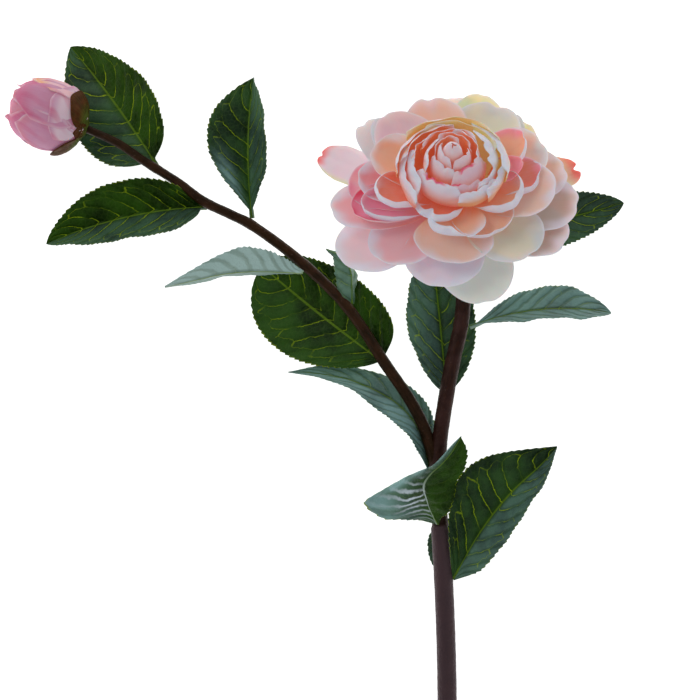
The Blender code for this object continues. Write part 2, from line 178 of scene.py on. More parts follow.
# Petals of the heart, from the ring inwards: middle azimuth, half-span | radius and height of the
# foot, of the widest place and of the rim | colours inside, outside and at the rim, and whether the
# rim has a hot pink edge.
HEART_MIDDLE = Vector((-2.4, 0.0, 0.0))
HEART = [
    (85, 56, (13, 16), (24.6, 27), (23.8, 31.8), "butter", "blush", "cream", 0),
    (140, 50, (13, 16), (23.0, 26), (21.4, 31.2), "amber", "blush", "pearl", 0),
    (28, 44, (13, 16), (25.0, 26), (20.8, 31.0), "butter", "pearl", "white", 0),
    (190, 42, (13, 16), (23.2, 24), (20.8, 28.6), "coral", "pearl", "white", 0),
    (308, 32, (13, 17), (20.6, 24), (17.4, 28.0), "amber", "white", "white", 0),
    (342, 30, (13, 17), (22.6, 24), (20.8, 28.6), "amber", "white", "white", 0),
    (238, 47, (12, 18), (17.6, 23.5), (12.6, 28.8), "coral", "pearl", "white", 1),
    (72, 56, (12, 17), (21.6, 28), (20.6, 31.6), "butter", "apricot", "cream", 0),
    (132, 46, (12, 17), (20.6, 28), (19.2, 31.2), "orange", "apricot", "pearl", 0),
    (24, 40, (12, 17), (20.6, 27), (14.6, 32.2), "butter", "white", "white", 0),
    (190, 36, (12, 17), (19.8, 25), (16.4, 29.6), "coral", "white", "white", 0),
    (288, 38, (11, 17), (15.4, 24), (12.0, 27.8), "coral", "mauve", "blush", 1),
    (342, 36, (11, 17), (19.0, 25), (17.0, 29.4), "orange", "white", "white", 0),
    (150, 30, (10, 18), (17.0, 28), (15.6, 31.0), "orange", "blush", "white", 0),
    (316, 50, (9, 17), (14.0, 25.5), (8.2, 31.2), "coral", "mauve", "blush", 1),
    (95, 60, (9, 18), (14.4, 29), (13.6, 33.2), "orange", "apricot", "white", 0),
    (40, 50, (8, 18), (12.6, 29), (11.4, 33.4), "orange", "blush", "white", 0),
    (165, 46, (8, 18), (12.0, 28), (9.6, 33.2), "orange", "blush", "white", 0),
    (228, 52, (7, 18), (10.4, 27), (7.2, 32.2), "coral", "blush", "pearl", 0),
    (75, 56, (6, 19), (9.8, 30), (8.6, 34.8), "orange", "blush", "white", 0),
    (120, 60, (5, 19), (7.6, 30), (6.6, 35.2), "orange", "blush", "white", 0),
    (325, 56, (5, 19), (8.0, 29), (5.6, 34.2), "coral", "blush", "blush", 0),
    (200, 66, (4, 20), (6.6, 30), (4.8, 35.2), "coral", "blush", "pearl", 0),
    (70, 100, (3, 20), (4.4, 32), (0.8, 36.8), "orange", "blush", "pearl", 0),
    (240, 112, (3, 20), (4.6, 32), (0.5, 37.4), "coral", "blush", "blush", 0),
]
# Share along a petal of the heart where it is widest, and how square its end is.
HEART_WIDEST = 0.5
HEART_CORNERS = 0.3
# How far round its rim curls in, how far one side stands out past the other, and its ripples.
HEART_CURL = math.radians(77.4)
HEART_SPIRAL = 1.0
HEART_RAGGED = 0.8
# The heart leans back towards its tip.
HEART_LEAN = 0.22

# Leaves. Most are given by the root, tip and bow of the midrib, with the rise of the left and the
# right half above the level and their greatest widths; five more folded ones by their midrib and
# the left and right margin. Fullness is how slowly the blade widens from its base and narrows to its
# tip, twist how far it turns about its midrib, and curl how far each half sags. Veins is how bright
# the veins are, then a painted blue-grey sheen for each half, and youth how pale the green is. Pale
# and gleam are soft patches of painted sheen and of painted glints: middle along and across, spreads,
# strength.
LEAVES = {
    "by_bud_back": {
        "root": (-123.2, 132.4, 22.0), "tip": (-163.9, 185.4, 0.25), "bow": (0.8, 0.8, -3.0),
        "rises": (3, 30), "widths": (22.5, 19.5), "fullness": (0.5, 0.8), "twist": 0,
        "veins": 1.0, "painted_sheen": (0.12, 0.0),
    },
    "by_bud_left": {
        "root": (-102.0, 112.0, 22.5), "tip": (-173.4, 96.6, 14.0), "bow": (0.2, 3.5, 3.0),
        "rises": (52, 25), "widths": (17, 17.5), "fullness": (0.45, 0.8), "twist": 0,
        "right_fullness": (0.7, 0.85), "veins": 1.0, "painted_sheen": (0.16, 0.0),
    },
    "by_bud_top": {
        "root": (-81.5, 108.0, 24.0), "tip": (-81.4, 170.6, 12.0), "bow": (-2.0, 0.0, 3.0),
        "rises": (20, 60), "widths": (19, 17), "fullness": (1.15, 1.0), "twist": -35,
        "veins": 0.8, "painted_sheen": (0.05, 0.18), "pale": (0.25, -0.75, 0.15, 0.25, 0.9),
    },
    "branch_left": {
        "midrib": [(-59.4, 83.8, 26), (-70.3, 84.2, 27), (-82.6, 84.2, 28), (-94.9, 82.9, 28),
                   (-106.4, 80.3, 27), (-120.2, 77.2, 24)],
        "margins": ([(-59.4, 84.6, 26), (-65.0, 88.1, 30), (-74.6, 93.2, 33), (-86.8, 94.1, 34),
                     (-102.2, 88.0, 31), (-120.2, 77.7, 24)],
                    [(-59.4, 83.2, 26), (-69.5, 82.8, 24), (-82.8, 82.7, 22), (-95.2, 81.3, 22),
                     (-106.6, 78.9, 23), (-120.2, 76.9, 24)]),
        "veins": 0.3, "painted_sheen": (1.0, 0.55), "youth": 1.0,
    },
    "branch_back": {
        "root": (-23.0, 43.2, 16.0), "tip": (-78.0, 87.0, 0.25), "bow": (-0.5, -0.5, 0.0),
        "rises": (4, 14), "widths": (24.0, 23.0), "fullness": (0.8, 0.55), "twist": 0,
        "right_fullness": (0.3, 0.5), "veins": 0.6, "painted_sheen": (0.02, 0.0),
    },
    "branch_small": {
        "midrib": [(-37.8, 69.8, 24), (-37.8, 76.7, 27), (-38.3, 83.7, 28), (-41.3, 89.9, 26),
                   (-49.3, 94.0, 22)],
        "margins": ([(-38.7, 69.3, 24), (-43.1, 72.4, 25), (-44.8, 78.5, 25), (-45.4, 84.7, 24),
                     (-46.3, 90.1, 22), (-49.3, 93.8, 22)],
                    [(-37.0, 69.8, 23), (-36.3, 76.5, 21), (-36.0, 83.0, 20), (-39.5, 90.5, 20),
                     (-49.3, 94.2, 22)]),
        "veins": 0.3, "painted_sheen": (0.3, 0.3), "youth": 0.7,
    },
    "fork_left": {
        "midrib": [(-3.7, -2.7, 17), (-6.8, 9.7, 18), (-11.7, 19.4, 18), (-21.4, 28.2, 17),
                   (-37.8, 35.8, 15), (-52.9, 38.8, 14), (-66.2, 39.7, 14)],
        "margins": ([(-4.6, -2.7, 18), (-8.7, 5.0, 23), (-15.8, 14.3, 25), (-24.6, 22.2, 25),
                     (-38.7, 31.9, 23), (-53.7, 37.6, 18), (-66.2, 39.6, 14)],
                    [(-2.8, -1.9, 17), (-0.1, 9.6, 14), (-2.3, 21.1, 13), (-10.3, 31.7, 12),
                     (-25.3, 39.4, 10), (-47.6, 42.5, 10), (-66.2, 39.8, 14)]),
        "veins": 0.4, "painted_sheen": (0.7, 0.5), "pale": (0.35, -0.5, 0.2, 0.4, 0.6),
    },
    "fork_back": {
        "root": (4.4, 28.0, 14.0), "tip": (-1.9, 91.9, 5.0), "bow": (0.4, 0.0, -2.0),
        "rises": (35, 8), "widths": (18, 16), "fullness": (0.65, 0.6), "twist": 0,
        "veins": 0.8, "painted_sheen": (0.3, 0.14),
    },
    "flower_right": {
        "root": (14.6, 59.8, 20.5), "tip": (76.6, 65.8, 20.0), "bow": (0.0, 4.4, 4.0),
        "rises": (-42, 72), "widths": (14, 14.5), "fullness": (1.0, 0.75), "twist": 0,
        "veins": 0.35, "painted_sheen": (0.7, 0.72),
    },
    "flower_back": {
        "root": (13.5, 97.5, 15.5), "tip": (84.0, 115.4, 0.3), "bow": (0.0, -0.5, 1.5),
        "rises": (10, 10), "widths": (12.5, 12), "fullness": (0.7, 0.75), "twist": 0,
        "veins": 1.0, "painted_sheen": (0.14, 0.16),
    },
    "stem_folded": {
        "midrib": [(-0.1, -27.4, 21.0), (-3.5, -20.8, 26), (-5.4, -14.9, 31), (-6.4, -11.5, 34),
                   (-5.9, -8.0, 36), (-3.0, -4.1, 37), (0.9, -0.6, 38), (5.3, 4.4, 38.5),
                   (9.7, 11.7, 39)],
        "margins": ([(-0.8, -27.3, 21.0), (-7.8, -25.8, 21), (-14.9, -24.9, 20.5),
                     (-23.7, -25.1, 20), (-32.7, -18.1, 22), (-23.7, -12.1, 25),
                     (-14.1, -6.2, 28), (-3.7, -1.3, 31), (9.7, 12.1, 39)],
                    [(0.6, -27.5, 21.0), (1.6, -24.5, 23), (3.5, -23.0, 25), (6.1, -18.2, 27),
                     (7.6, -12.7, 28), (8.9, -7.0, 30), (11.6, -1.2, 33), (12.3, 5.9, 37),
                     (9.7, 11.3, 39)]),
        "veins": 0.05, "painted_sheen": (0.0, 0.0), "curl": 8,
        "gleam": (0.28, -0.3, 0.26, 0.42, 1.0), "pale": (0.75, -0.95, 0.45, 0.5, 1.6),
    },
    "stem_right": {
        "midrib": [(7.0, -52.1, 15), (16.5, -35.2, 15), (25.5, -22.2, 17), (34.3, -12.0, 18),
                   (45.4, -1.9, 17), (53.1, 6.5, 15)],
        "margins": ([(6.5, -51.2, 15), (5.0, -34.4, 21), (5.3, -18.8, 24), (8.9, -6.9, 24),
                     (19.1, 1.4, 22), (32.9, 4.9, 20), (53.1, 6.9, 15)],
                    [(7.5, -52.6, 15), (19.2, -47.7, 20), (28.5, -35.7, 27), (35.8, -25.8, 31),
                     (42.3, -14.4, 32), (48.8, -4.6, 26), (53.1, 6.1, 15)]),
        "veins": 0.9, "painted_sheen": (0.05, 0.34),
    },
    "stem_back": {
        "root": (0.6, -27.5, 10.5), "tip": (0.6, -50.0, 3.0), "bow": (0.0, 0.0, 0.0),
        "rises": (15, 15), "widths": (6, 5), "fullness": (0.6, 0.9), "twist": 0,
        "veins": 0.4, "painted_sheen": (0.2, 0.2),
    },
}
NO_PATCH = (0.5, 0.0, 1.0, 1.0, 0.0)
LEAF_THICKNESS = 0.42
LEAF_CURL = 20
# The stalk's share of the leaf's length.
PETIOLE_SHARE = 0.04
PETIOLE_WIDTH = 1.8
LEAF_TIP_WIDTH = 0.4
# How far the blade swells between its veins, and how far its margin waves.
LEAF_QUILTING = 0.7
LEAF_FLUTTER = 0.5
LEAF_COLUMNS = 37
# Half widths of the midrib and of the stalk, how far each stands out below, and the furrow above.
RIB_SIZE = 0.6
STALK_SIZE = 1.1
RIB_DEPTH = 0.75
STALK_DEPTH = 0.5
FURROW_DEPTH = 0.14
TOOTH_SPACING = 2.5
TOOTH_DEPTH = 0.85
ROWS_PER_TOOTH = 6
VEIN_SPACING = 8.0
VEIN_SLANT = 0.27

# Bud: where its base sits, how it is turned to lie on its side and point outwards, the outline of
# its furled petals (radius, height) and the height of its mouth.
BUD_BASE = Vector((-153.8, 146.5, 26.0))
BUD_TURNS = ((160.0, "Z"), (90.0, "Y"))
BUD_PROFILE = [
    (0.0, 36.0), (4.5, 35.7), (8.5, 34.2), (12.0, 30.0), (14.3, 23.0), (14.7, 16.0), (13.2, 9.0),
    (9.4, 4.0), (4.0, 1.4), (0.0, 1.2),
]
BUD_MOUTH = 34.0
# Wrapped petals, from the inmost: node, middle and half-span about the bud (0 is the side towards
# the floor, 180 the side away from it), height of the tip, layers out, point of the tip, and
# colours of the foot, the middle and the tip.
BUD_PETALS = [
    ("bud_petal_1", 20, 80, 35.0, 1, 0.3, "rosy", "bud_mauve", "bud_mauve"),
    ("bud_petal_1", 262, 58, 35.4, 1, 0.4, "bud_rose", "bud_rose", "bud_pink"),
    ("bud_petal_2", 118, 62, 35.2, 2, 0.3, "bud_mauve", "bud_mauve", "bud_pink"),
    ("bud_petal_3", 140, 40, 29.0, 3, 1.0, "bud_mauve", "bud_mauve", "bud_rose"),
    ("bud_petal_3", 205, 44, 35.0, 4, 0.8, "bud_mauve", "bud_mauve", "bud_pink"),
    ("bud_petal_4", 268, 50, 30.0, 5, 1.0, "mauve", "rosy", "amber"),
    ("bud_petal_4", 200, 60, 17.0, 6, 1.2, "mauve", "mauve", "bud_mauve"),
]
# Scales at the bud's base: the same, with no colours.
BUD_SEPALS = [
    ("bud_sepal_1", 0, 60, 14.0, 11, 1.0),
    ("bud_sepal_2", 98, 40, 11.0, 12, 1.0),
    ("bud_sepal_3", 226, 54, 9.6, 13, 1.0),
    ("bud_sepal_3", 160, 40, 3.6, 14, 0.8),
]

# Thickness of the scales of the bud and the flower, and of the skin of a closed form to each side.
SCALE_THICKNESS = 0.5
SKIN = 0.1

# Calyx of the open flower, on its axis below the petals: the swollen end of the stalk, and the
# scales that hold the petals (azimuth, half-span, reach).
RECEPTACLE = [(2.8, -6.5), (4.4, -5.0), (6.6, -2.6), (8.0, -0.6), (7.4, 0.5), (0.0, 0.6)]
FLOWER_SEPALS = [(20, 40, 15.0), (92, 40, 16.0), (164, 40, 14.5), (236, 40, 15.5), (308, 40, 15.0)]
# Radius and height of the foot of these scales, their rise to the tip, and from one to the next.
FLOWER_SEPAL_FOOT = (6.5, -2.2)
FLOWER_SEPAL_RISE = 1.6
FLOWER_SEPAL_STEP = 0.12


# Small helpers

def linear(colour):
    """Scene-linear RGBA of a colour name, or of red, green and blue from 0 to 255."""
    rgb = COLOURS[colour] if isinstance(colour, str) else colour
    shares = [c / 255 for c in rgb]
    return np.array([c / 12.92 if c < 0.04045 else ((c + 0.055) / 1.055) ** 2.4
                     for c in shares] + [1.0])


def smooth(low, high, value):
    """A smooth step from 0 at low to 1 at high."""
    t = np.clip((value - low) / (high - low), 0.0, 1.0)
    return t * t * (3 - 2 * t)


def blended(first, second, share):
    """Colours mixed by an array of shares."""
    return first + (second - first) * share[..., None]


def hump(value, middle, spread):
    """A soft hump, 1 at the middle and fading to both sides."""
    return np.exp(-((value - middle) / spread) ** 2)


def jitter(*seeds):
    """A repeatable number from -1 to 1."""
    total = sum(seed * factor for seed, factor in zip(seeds, (12.9898, 78.233, 37.719)))
    return 2 * ((math.sin(total) * 43758.5453) % 1.0) - 1


def ripples(index, angle, spread, waves):
    """Waves round the rim of a petal, each with its count, strength and seed."""
    return sum(strength * np.sin(count * angle + spread * jitter(index, seed))
               for count, strength, seed in waves)


def unit(vectors):
    """Each vector of an array at length 1."""
    return vectors / np.linalg.norm(vectors, axis=-1, keepdims=True)


def around_axis(radius, angle, height):
    """Points at radii, angles and heights about the z axis."""
    return np.stack((radius * np.cos(angle), radius * np.sin(angle), height), axis=-1)


def moved(points, matrix):
    """A grid of points in metres, moved by a matrix."""
    array = np.array(matrix)
    return points @ array[:3, :3].T + array[:3, 3]


def in_place(points):
    """Points of the layout in millimetres, as metres in the object's frame."""
    return moved(points * MM, Matrix.Translation(FORK * MM))


def stand(point, *turns):
    """From the frame of the flower or the bud to the object's frame; turns are (degrees, axis)."""
    matrix = Matrix.Translation((point + FORK) * MM)
    for degrees, axis in turns:
        matrix = matrix @ Matrix.Rotation(math.radians(degrees), 4, axis)
    return matrix


def smooth_path(points, steps):
    """Points of the smooth curve (Catmull-Rom) that runs through the given ones."""
    given = [Vector(point) for point in points]
    given = [2 * given[0] - given[1]] + given + [2 * given[-1] - given[-2]]
    path = []
    for before, start, end, after in zip(given, given[1:], given[2:], given[3:]):
        for step in range(steps):
            t = step / steps
            path.append(0.5 * (2 * start + (end - before) * t
                               + (2 * before - 5 * start + 4 * end - after) * t ** 2
                               + (3 * start - before - 3 * end + after) * t ** 3))
    path.append(given[-2])
    return path


def new_object(name, data):
    """An object in the scene that shows a mesh, a lamp or a camera."""
    made = bpy.data.objects.new(name, data)
    bpy.context.scene.collection.objects.link(made)
    return made


def claimed(piece, node):
    """The piece, with the node of the frame that it stands for hidden."""
    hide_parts(node)
    return piece


# Meshes

def grid_normals(points):
    """Unit normals of a grid of points, along rows x columns."""
    normals = np.zeros_like(points)
    face = np.cross(points[1:, 1:] - points[:-1, :-1], points[:-1, 1:] - points[1:, :-1])
    for rows in (slice(None, -1), slice(1, None)):
        for columns in (slice(None, -1), slice(1, None)):
            normals[rows, columns] += face
    lengths = np.linalg.norm(normals, axis=-1, keepdims=True)
    return normals / np.maximum(lengths, 1e-12)


def new_mesh(name, points, faces, face_materials, materials, attributes):
    """A smooth mesh object with point attributes (colours of 4 numbers or vectors of 3)."""
    mesh = bpy.data.meshes.new(name)
    mesh.from_pydata([tuple(p) for p in points], [], [tuple(f) for f in faces])
    for material in materials:
        mesh.materials.append(material)
    mesh.polygons.foreach_set("material_index", np.asarray(face_materials, dtype=np.int32))
    for key, values in attributes.items():
        is_colour = values.shape[-1] == 4
        kind = "FLOAT_COLOR" if is_colour else "FLOAT_VECTOR"
        attribute = mesh.attributes.new(key, kind, "POINT")
        flat = np.ascontiguousarray(values, dtype=np.float32).ravel()
        attribute.data.foreach_set("color" if is_colour else "vector", flat)
    mesh.shade_smooth()
    mesh.validate()
    return new_object(name, mesh)


def sheet(name, points, above, below, materials, attributes):
    """A closed thin piece round a grid of points, with an upper and an under side.

    above and below are how far each side lies from the grid, in metres.
    """
    rows, columns = points.shape[:2]
    normals = grid_normals(points)
    upper = (points + normals * np.broadcast_to(above, (rows, columns))[..., None]).reshape(-1, 3)
    under = (points - normals * np.broadcast_to(below, (rows, columns))[..., None]).reshape(-1, 3)
    corner = np.arange(rows * columns).reshape(rows, columns)
    quads = np.stack((corner[:-1, :-1], corner[1:, :-1], corner[1:, 1:], corner[:-1, 1:]),
                     axis=-1).reshape(-1, 4)
    edge = np.concatenate((corner[0, :-1], corner[:-1, -1], corner[-1, :0:-1], corner[:0:-1, 0]))
    following = np.roll(edge, -1)
    shift = rows * columns
    rim = np.stack((edge, following, following + shift, edge + shift), axis=-1)
    faces = np.concatenate((quads, quads[:, ::-1] + shift, rim))
    sides = np.concatenate((np.zeros(len(quads)), np.ones(len(quads)), np.ones(len(rim))))
    doubled = {key: np.concatenate((value.reshape(shift, -1),) * 2)
               for key, value in attributes.items()}
    return new_mesh(name, np.concatenate((upper, under)), faces, sides, materials, doubled)


def grain(along, across, shift, layer):
    """Where the streaks of a petal or scale are looked up, so that no two are alike."""
    return np.stack((along + shift, across, np.full_like(along, layer)), axis=-1)


# Materials

class Value:
    """A number inside a shader, with the usual arithmetic."""

    def __init__(self, nodes, socket):
        self.nodes = nodes
        self.socket = socket

    def __add__(self, other):
        return self.nodes.math("ADD", self, other)

    def __sub__(self, other):
        return self.nodes.math("SUBTRACT", self, other)

    def __mul__(self, other):
        return self.nodes.math("MULTIPLY", self, other)

    def __abs__(self):
        return self.nodes.math("ABSOLUTE", self, 0.0)

    def ramp(self, low, high, to_low=0.0, to_high=1.0):
        """A smooth ramp of the value, clamped at both ends."""
        node = self.nodes.add("ShaderNodeMapRange", interpolation_type="SMOOTHSTEP")
        for key, value in (("Value", self), ("From Min", low), ("From Max", high),
                           ("To Min", to_low), ("To Max", to_high)):
            self.nodes.feed(node.inputs[key], value)
        return Value(self.nodes, node.outputs[0])


class Nodes:
    """Short calls that add nodes to a material or the sky, and the colour it has so far."""

    def __init__(self, owner, shader):
        self.owner = owner
        owner.use_nodes = True
        self.tree = owner.node_tree
        self.shader = self.tree.nodes[shader]
        self.colour = None

    def add(self, kind, **settings):
        node = self.tree.nodes.new(kind)
        for key, value in settings.items():
            setattr(node, key, value)
        return node

    def feed(self, socket, value):
        if isinstance(value, Value):
            value = value.socket
        if isinstance(value, bpy.types.NodeSocket):
            self.tree.links.new(value, socket)
        else:
            socket.default_value = value

    def math(self, operation, first, second):
        node = self.add("ShaderNodeMath", operation=operation)
        self.feed(node.inputs[0], first)
        self.feed(node.inputs[1], second)
        return Value(self, node.outputs[0])

    def mix(self, share, first, second):
        """Two colours mixed, each an output of a node or anything that linear takes."""
        node = self.add("ShaderNodeMix", data_type="RGBA")
        self.feed(node.inputs[0], share)
        for socket, colour in zip(node.inputs[6:8], (first, second)):
            is_output = isinstance(colour, bpy.types.NodeSocket)
            self.feed(socket, colour if is_output else tuple(linear(colour)))
        return node.outputs[2]

    def paint(self, share, colour):
        """Lay a colour over the one so far."""
        self.colour = self.mix(share, self.colour, colour)

    def attribute(self, name):
        """Colour, vector and alpha of a point attribute of the mesh."""
        outputs = self.add("ShaderNodeAttribute", attribute_name=name).outputs
        return outputs["Color"], outputs["Vector"], Value(self, outputs["Alpha"])

    def split(self, vector):
        node = self.add("ShaderNodeSeparateXYZ")
        self.feed(node.inputs[0], vector)
        return [Value(self, output) for output in node.outputs]

    def scaled(self, vector, scale):
        node = self.add("ShaderNodeMapping")
        self.feed(node.inputs["Vector"], vector)
        node.inputs["Scale"].default_value = scale
        return node.outputs[0]

    def texture(self, node, output, vector=None, **inputs):
        """A number of a texture node, at a vector or else at the point on the object, in metres."""
        if vector is None:
            vector = self.add("ShaderNodeTexCoord").outputs["Object"]
        self.feed(node.inputs["Vector"], vector)
        for key, value in inputs.items():
            self.feed(node.inputs[key], value)
        return Value(self, node.outputs[output])

    def noise(self, scale, detail=2.0, roughness=0.5, vector=None):
        return self.texture(self.add("ShaderNodeTexNoise"), "Fac", vector, Scale=scale,
                            Detail=detail, Roughness=roughness)

    def cell_edges(self, scale):
        """The distance to the nearest edge of a net of cells."""
        node = self.add("ShaderNodeTexVoronoi", feature="DISTANCE_TO_EDGE")
        return self.texture(node, "Distance", Scale=scale)

    def bump(self, height, distance, strength):
        node = self.add("ShaderNodeBump")
        node.inputs["Strength"].default_value = strength
        node.inputs["Distance"].default_value = distance
        self.feed(node.inputs["Height"], height)
        self.feed(self.shader.inputs["Normal"], node.outputs[0])

    def finish(self, roughness, **values):
        self.feed(self.shader.inputs["Base Color"], self.colour)
        self.feed(self.shader.inputs["Roughness"], roughness)
        for key, value in values.items():
            self.shader.inputs[key.replace("_", " ")].default_value = value
        return self.owner


def surface_nodes(name):
    """Nodes of a new material."""
    return Nodes(bpy.data.materials.new(name), "Principled BSDF")


def petal_material(name, tint):
    """Soft matt petal: its tint, fine streaks along it, a faint mottle, and a faint painted glow of its
    own colour.
    """
    nodes = surface_nodes(name)
    nodes.colour = nodes.attribute(tint)[0]
    streaks = nodes.noise(1.0, 3.0, 0.6, nodes.scaled(nodes.attribute("petal")[1], (1.2, 30.0, 1.0)))
    mottle = nodes.noise(160.0, 3.0)
    nodes.paint(streaks.ramp(0.35, 0.75, 0.0, 0.10), "blush")
    nodes.paint(mottle.ramp(0.35, 0.7, 0.0, 0.07), "white")
    nodes.bump(streaks + mottle * 0.5, 0.00025, 0.35)
    # Painted light: the petal glows faintly in its own colour, standing in for light that passes through
    # the thin petals and fills their shade.
    nodes.feed(nodes.shader.inputs["Emission Color"], nodes.colour)
    return nodes.finish(mottle.ramp(0.3, 0.7, 0.52, 0.66), Subsurface_Weight=0.5,
                        Subsurface_Scale=0.0015, Subsurface_Radius=(1.0, 0.35, 0.25),
                        Specular_IOR_Level=0.2, Emission_Strength=0.1)


def leaf_looks(nodes):
    """Masks of a leaf's veins, fine net, margin, midrib, swellings and painted glints, how far along it
    each point is, and its own vein strength, painted sheen and youth."""
    _, place, gleam = nodes.attribute("leaf")
    along, across, phase = nodes.split(place)
    _, own, near_rib = nodes.attribute("looks")
    strength, painted_sheen, youth = nodes.split(own)
    outward = abs(across)
    patch = nodes.noise(95.0, 3.0, 0.6)
    wander = nodes.noise(190.0, 3.0, 0.6) - 0.5
    wobble = wander * 0.5
    beside = nodes.math("PINGPONG", phase + wobble, 0.5)
    loop = beside * 0.34 + 0.66 + wobble * 0.6
    lateral = beside.ramp(0.014, 0.042, 1.0, 0.0) * (loop - outward).ramp(-0.02, 0.02)
    arch = abs(outward - loop).ramp(0.006, 0.022, 0.6, 0.0)
    vein = nodes.math("MAXIMUM", lateral, arch) * patch.ramp(0.38, 0.62, 0.06, 1.0)
    vein = vein * along.ramp(0.04, 0.12) * outward.ramp(1.0, 0.75, 0.35, 1.0)
    fine = nodes.cell_edges(480.0).ramp(0.02, 0.14, 1.0, 0.0)
    margin = outward.ramp(0.965, 0.992) * nodes.noise(500.0).ramp(0.42, 0.58)
    midrib = near_rib.ramp(0.55, 0.85)
    # Painted glints: thin white stripes beside the veins and along the midrib, where a leaf has gleam.
    crease = nodes.math("PINGPONG", phase * 2.2 + wander, 0.5)
    shine = crease.ramp(0.04, 0.3, 1.0, 0.0) * patch.ramp(0.4, 0.6, 0.2, 1.0)
    glint = gleam * nodes.math("MAXIMUM", shine, midrib)
    return SimpleNamespace(along=along, vein=vein, fine=fine, margin=margin, midrib=midrib,
                           swell=beside.ramp(0.05, 0.3), glint=glint, strength=strength,
                           painted_sheen=painted_sheen, youth=youth)


def leaf_upper_material():
    """Leathery dark green with thin yellow-green veins, a painted blue-grey sheen and painted white
    glints.
    """
    nodes = surface_nodes("leaf_upper")
    looks = leaf_looks(nodes)
    clouds = nodes.noise(55.0, 3.0, 0.6)
    speckle = nodes.noise(900.0, 3.0, 0.6)
    old = nodes.mix(clouds.ramp(0.35, 0.65), (10, 34, 0), (46, 84, 14))
    young = nodes.mix(clouds.ramp(0.35, 0.65), (52, 84, 46), (96, 126, 88))
    nodes.colour = nodes.mix(looks.youth, old, young)
    nodes.paint(speckle.ramp(0.45, 0.75, 0.0, 0.3), (52, 76, 14))
    nodes.paint(looks.fine * 0.14, (74, 104, 40))
    # Painted blue-grey sheen, strongest on the swellings between the veins.
    sheen_share = looks.painted_sheen * looks.swell.ramp(0.0, 1.0, 0.62, 1.0) * clouds.ramp(0.3, 0.65, 0.6, 1.0)
    nodes.paint(nodes.math("MINIMUM", sheen_share, 0.9), (146, 186, 186))
    nodes.paint(looks.vein * looks.strength, (178, 206, 24))
    nodes.paint(looks.midrib * 0.75, (104, 136, 30))
    nodes.paint(looks.margin, (138, 156, 30))
    # Painted glints in white.
    nodes.paint(looks.glint, (226, 238, 250))
    nodes.bump(looks.fine * -0.3 + speckle * 0.6 + looks.swell - looks.vein, 0.0004, 0.7)
    return nodes.finish(clouds.ramp(0.3, 0.7, 0.30, 0.46), Specular_IOR_Level=0.2,
                        Specular_Tint=(0.6, 0.8, 0.4, 1.0))


def leaf_under_material():
    """Paler matt underside with raised veins and a painted blue-grey sheen."""
    nodes = surface_nodes("leaf_under")
    looks = leaf_looks(nodes)
    clouds = nodes.noise(60.0, 3.0)
    old = nodes.mix(clouds.ramp(0.3, 0.7), (66, 92, 62), (98, 124, 96))
    young = nodes.mix(clouds.ramp(0.3, 0.7), (92, 122, 104), (150, 176, 160))
    nodes.colour = nodes.mix(looks.youth, old, young)
    nodes.paint(looks.fine * 0.25, (132, 152, 128))
    nodes.paint(looks.vein * 0.45, (166, 184, 140))
    nodes.paint(looks.midrib * 0.8, (146, 172, 66))
    nodes.paint(looks.along.ramp(0.86, 1.0, 0.0, 0.6), (196, 206, 198))
    # Painted blue-grey sheen over the swellings between the veins.
    nodes.paint(looks.painted_sheen * looks.swell.ramp(0.0, 1.0, 0.5, 0.9), (182, 212, 206))
    nodes.bump(looks.vein + looks.fine * 0.4, 0.00035, 0.7)
    return nodes.finish(clouds.ramp(0.3, 0.7, 0.42, 0.58), Specular_IOR_Level=0.35)


def bark_material(name, dark, light, roughness, sleeve=None):
    """Purplish brown bark with fine bumps and pale flecks; a sleeve has a colour of its own."""
    nodes = surface_nodes(name)
    place = nodes.attribute("bark")[1]
    fibres = nodes.noise(900.0, 4.0, 0.6, nodes.scaled(place, (1.0, 1.0, 0.25)))
    bumps = nodes.noise(700.0, 3.0, 0.6)
    nodes.colour = nodes.mix(nodes.noise(120.0).ramp(0.3, 0.7), dark, light)
    nodes.paint(fibres.ramp(0.4, 0.75, 0.0, 0.5), (70, 40, 26))
    nodes.paint(bumps.ramp(0.64, 0.74, 0.0, 0.25), (112, 90, 84))
    if sleeve:
        length = (SLEEVE_END - TRUNK[0][1]) * MM
        nodes.paint(nodes.split(place)[2].ramp(length, length + 2 * MM, 0.6, 0.0), sleeve)
    nodes.bump(bumps + fibres * 0.6, 0.0005, 0.7)
    return nodes.finish(bumps.ramp(0.3, 0.7, roughness, roughness + 0.15), Specular_IOR_Level=0.16,
                        Specular_Tint=(1.0, 0.8, 0.7, 1.0))


def cut_material():
    """Fresh pale wood of the cut, with darker patches."""
    nodes = surface_nodes("cut_wood")
    patches = nodes.noise(1500.0, 3.0, vector=nodes.attribute("bark")[1])
    nodes.colour = nodes.mix(patches.ramp(0.3, 0.7), (150, 128, 92), (196, 180, 140))
    nodes.bump(patches, 0.0003, 0.5)
    return nodes.finish(0.8)


def calyx_material():
    """Dull brownish green scales, with fine fibres."""
    nodes = surface_nodes("calyx_scale")
    nodes.colour = nodes.attribute("inner")[0]
    mottle = nodes.noise(350.0, 4.0, 0.6)
    fibres = nodes.noise(1.0, vector=nodes.scaled(nodes.attribute("petal")[1], (1.0, 24.0, 1.0)))
    nodes.paint(mottle.ramp(0.35, 0.7, 0.0, 0.6), (36, 30, 8))
    nodes.paint(fibres.ramp(0.4, 0.8, 0.0, 0.3), (96, 98, 40))
    nodes.bump(mottle + fibres, 0.0004, 0.5)
    return nodes.finish(mottle.ramp(0.3, 0.7, 0.5, 0.7), Specular_IOR_Level=0.15,
                        Specular_Tint=(1.0, 0.9, 0.5, 1.0))


def floor_material():
    """White paper that glows enough to look white."""
    nodes = surface_nodes("floor")
    nodes.colour = nodes.mix(nodes.noise(40.0).ramp(0.3, 0.7), (238, 238, 238), (242, 242, 242))
    return nodes.finish(0.9, Emission_Color=(1.0, 1.0, 1.0, 1.0), Emission_Strength=0.85,
                        Specular_IOR_Level=0.0)


# Flower

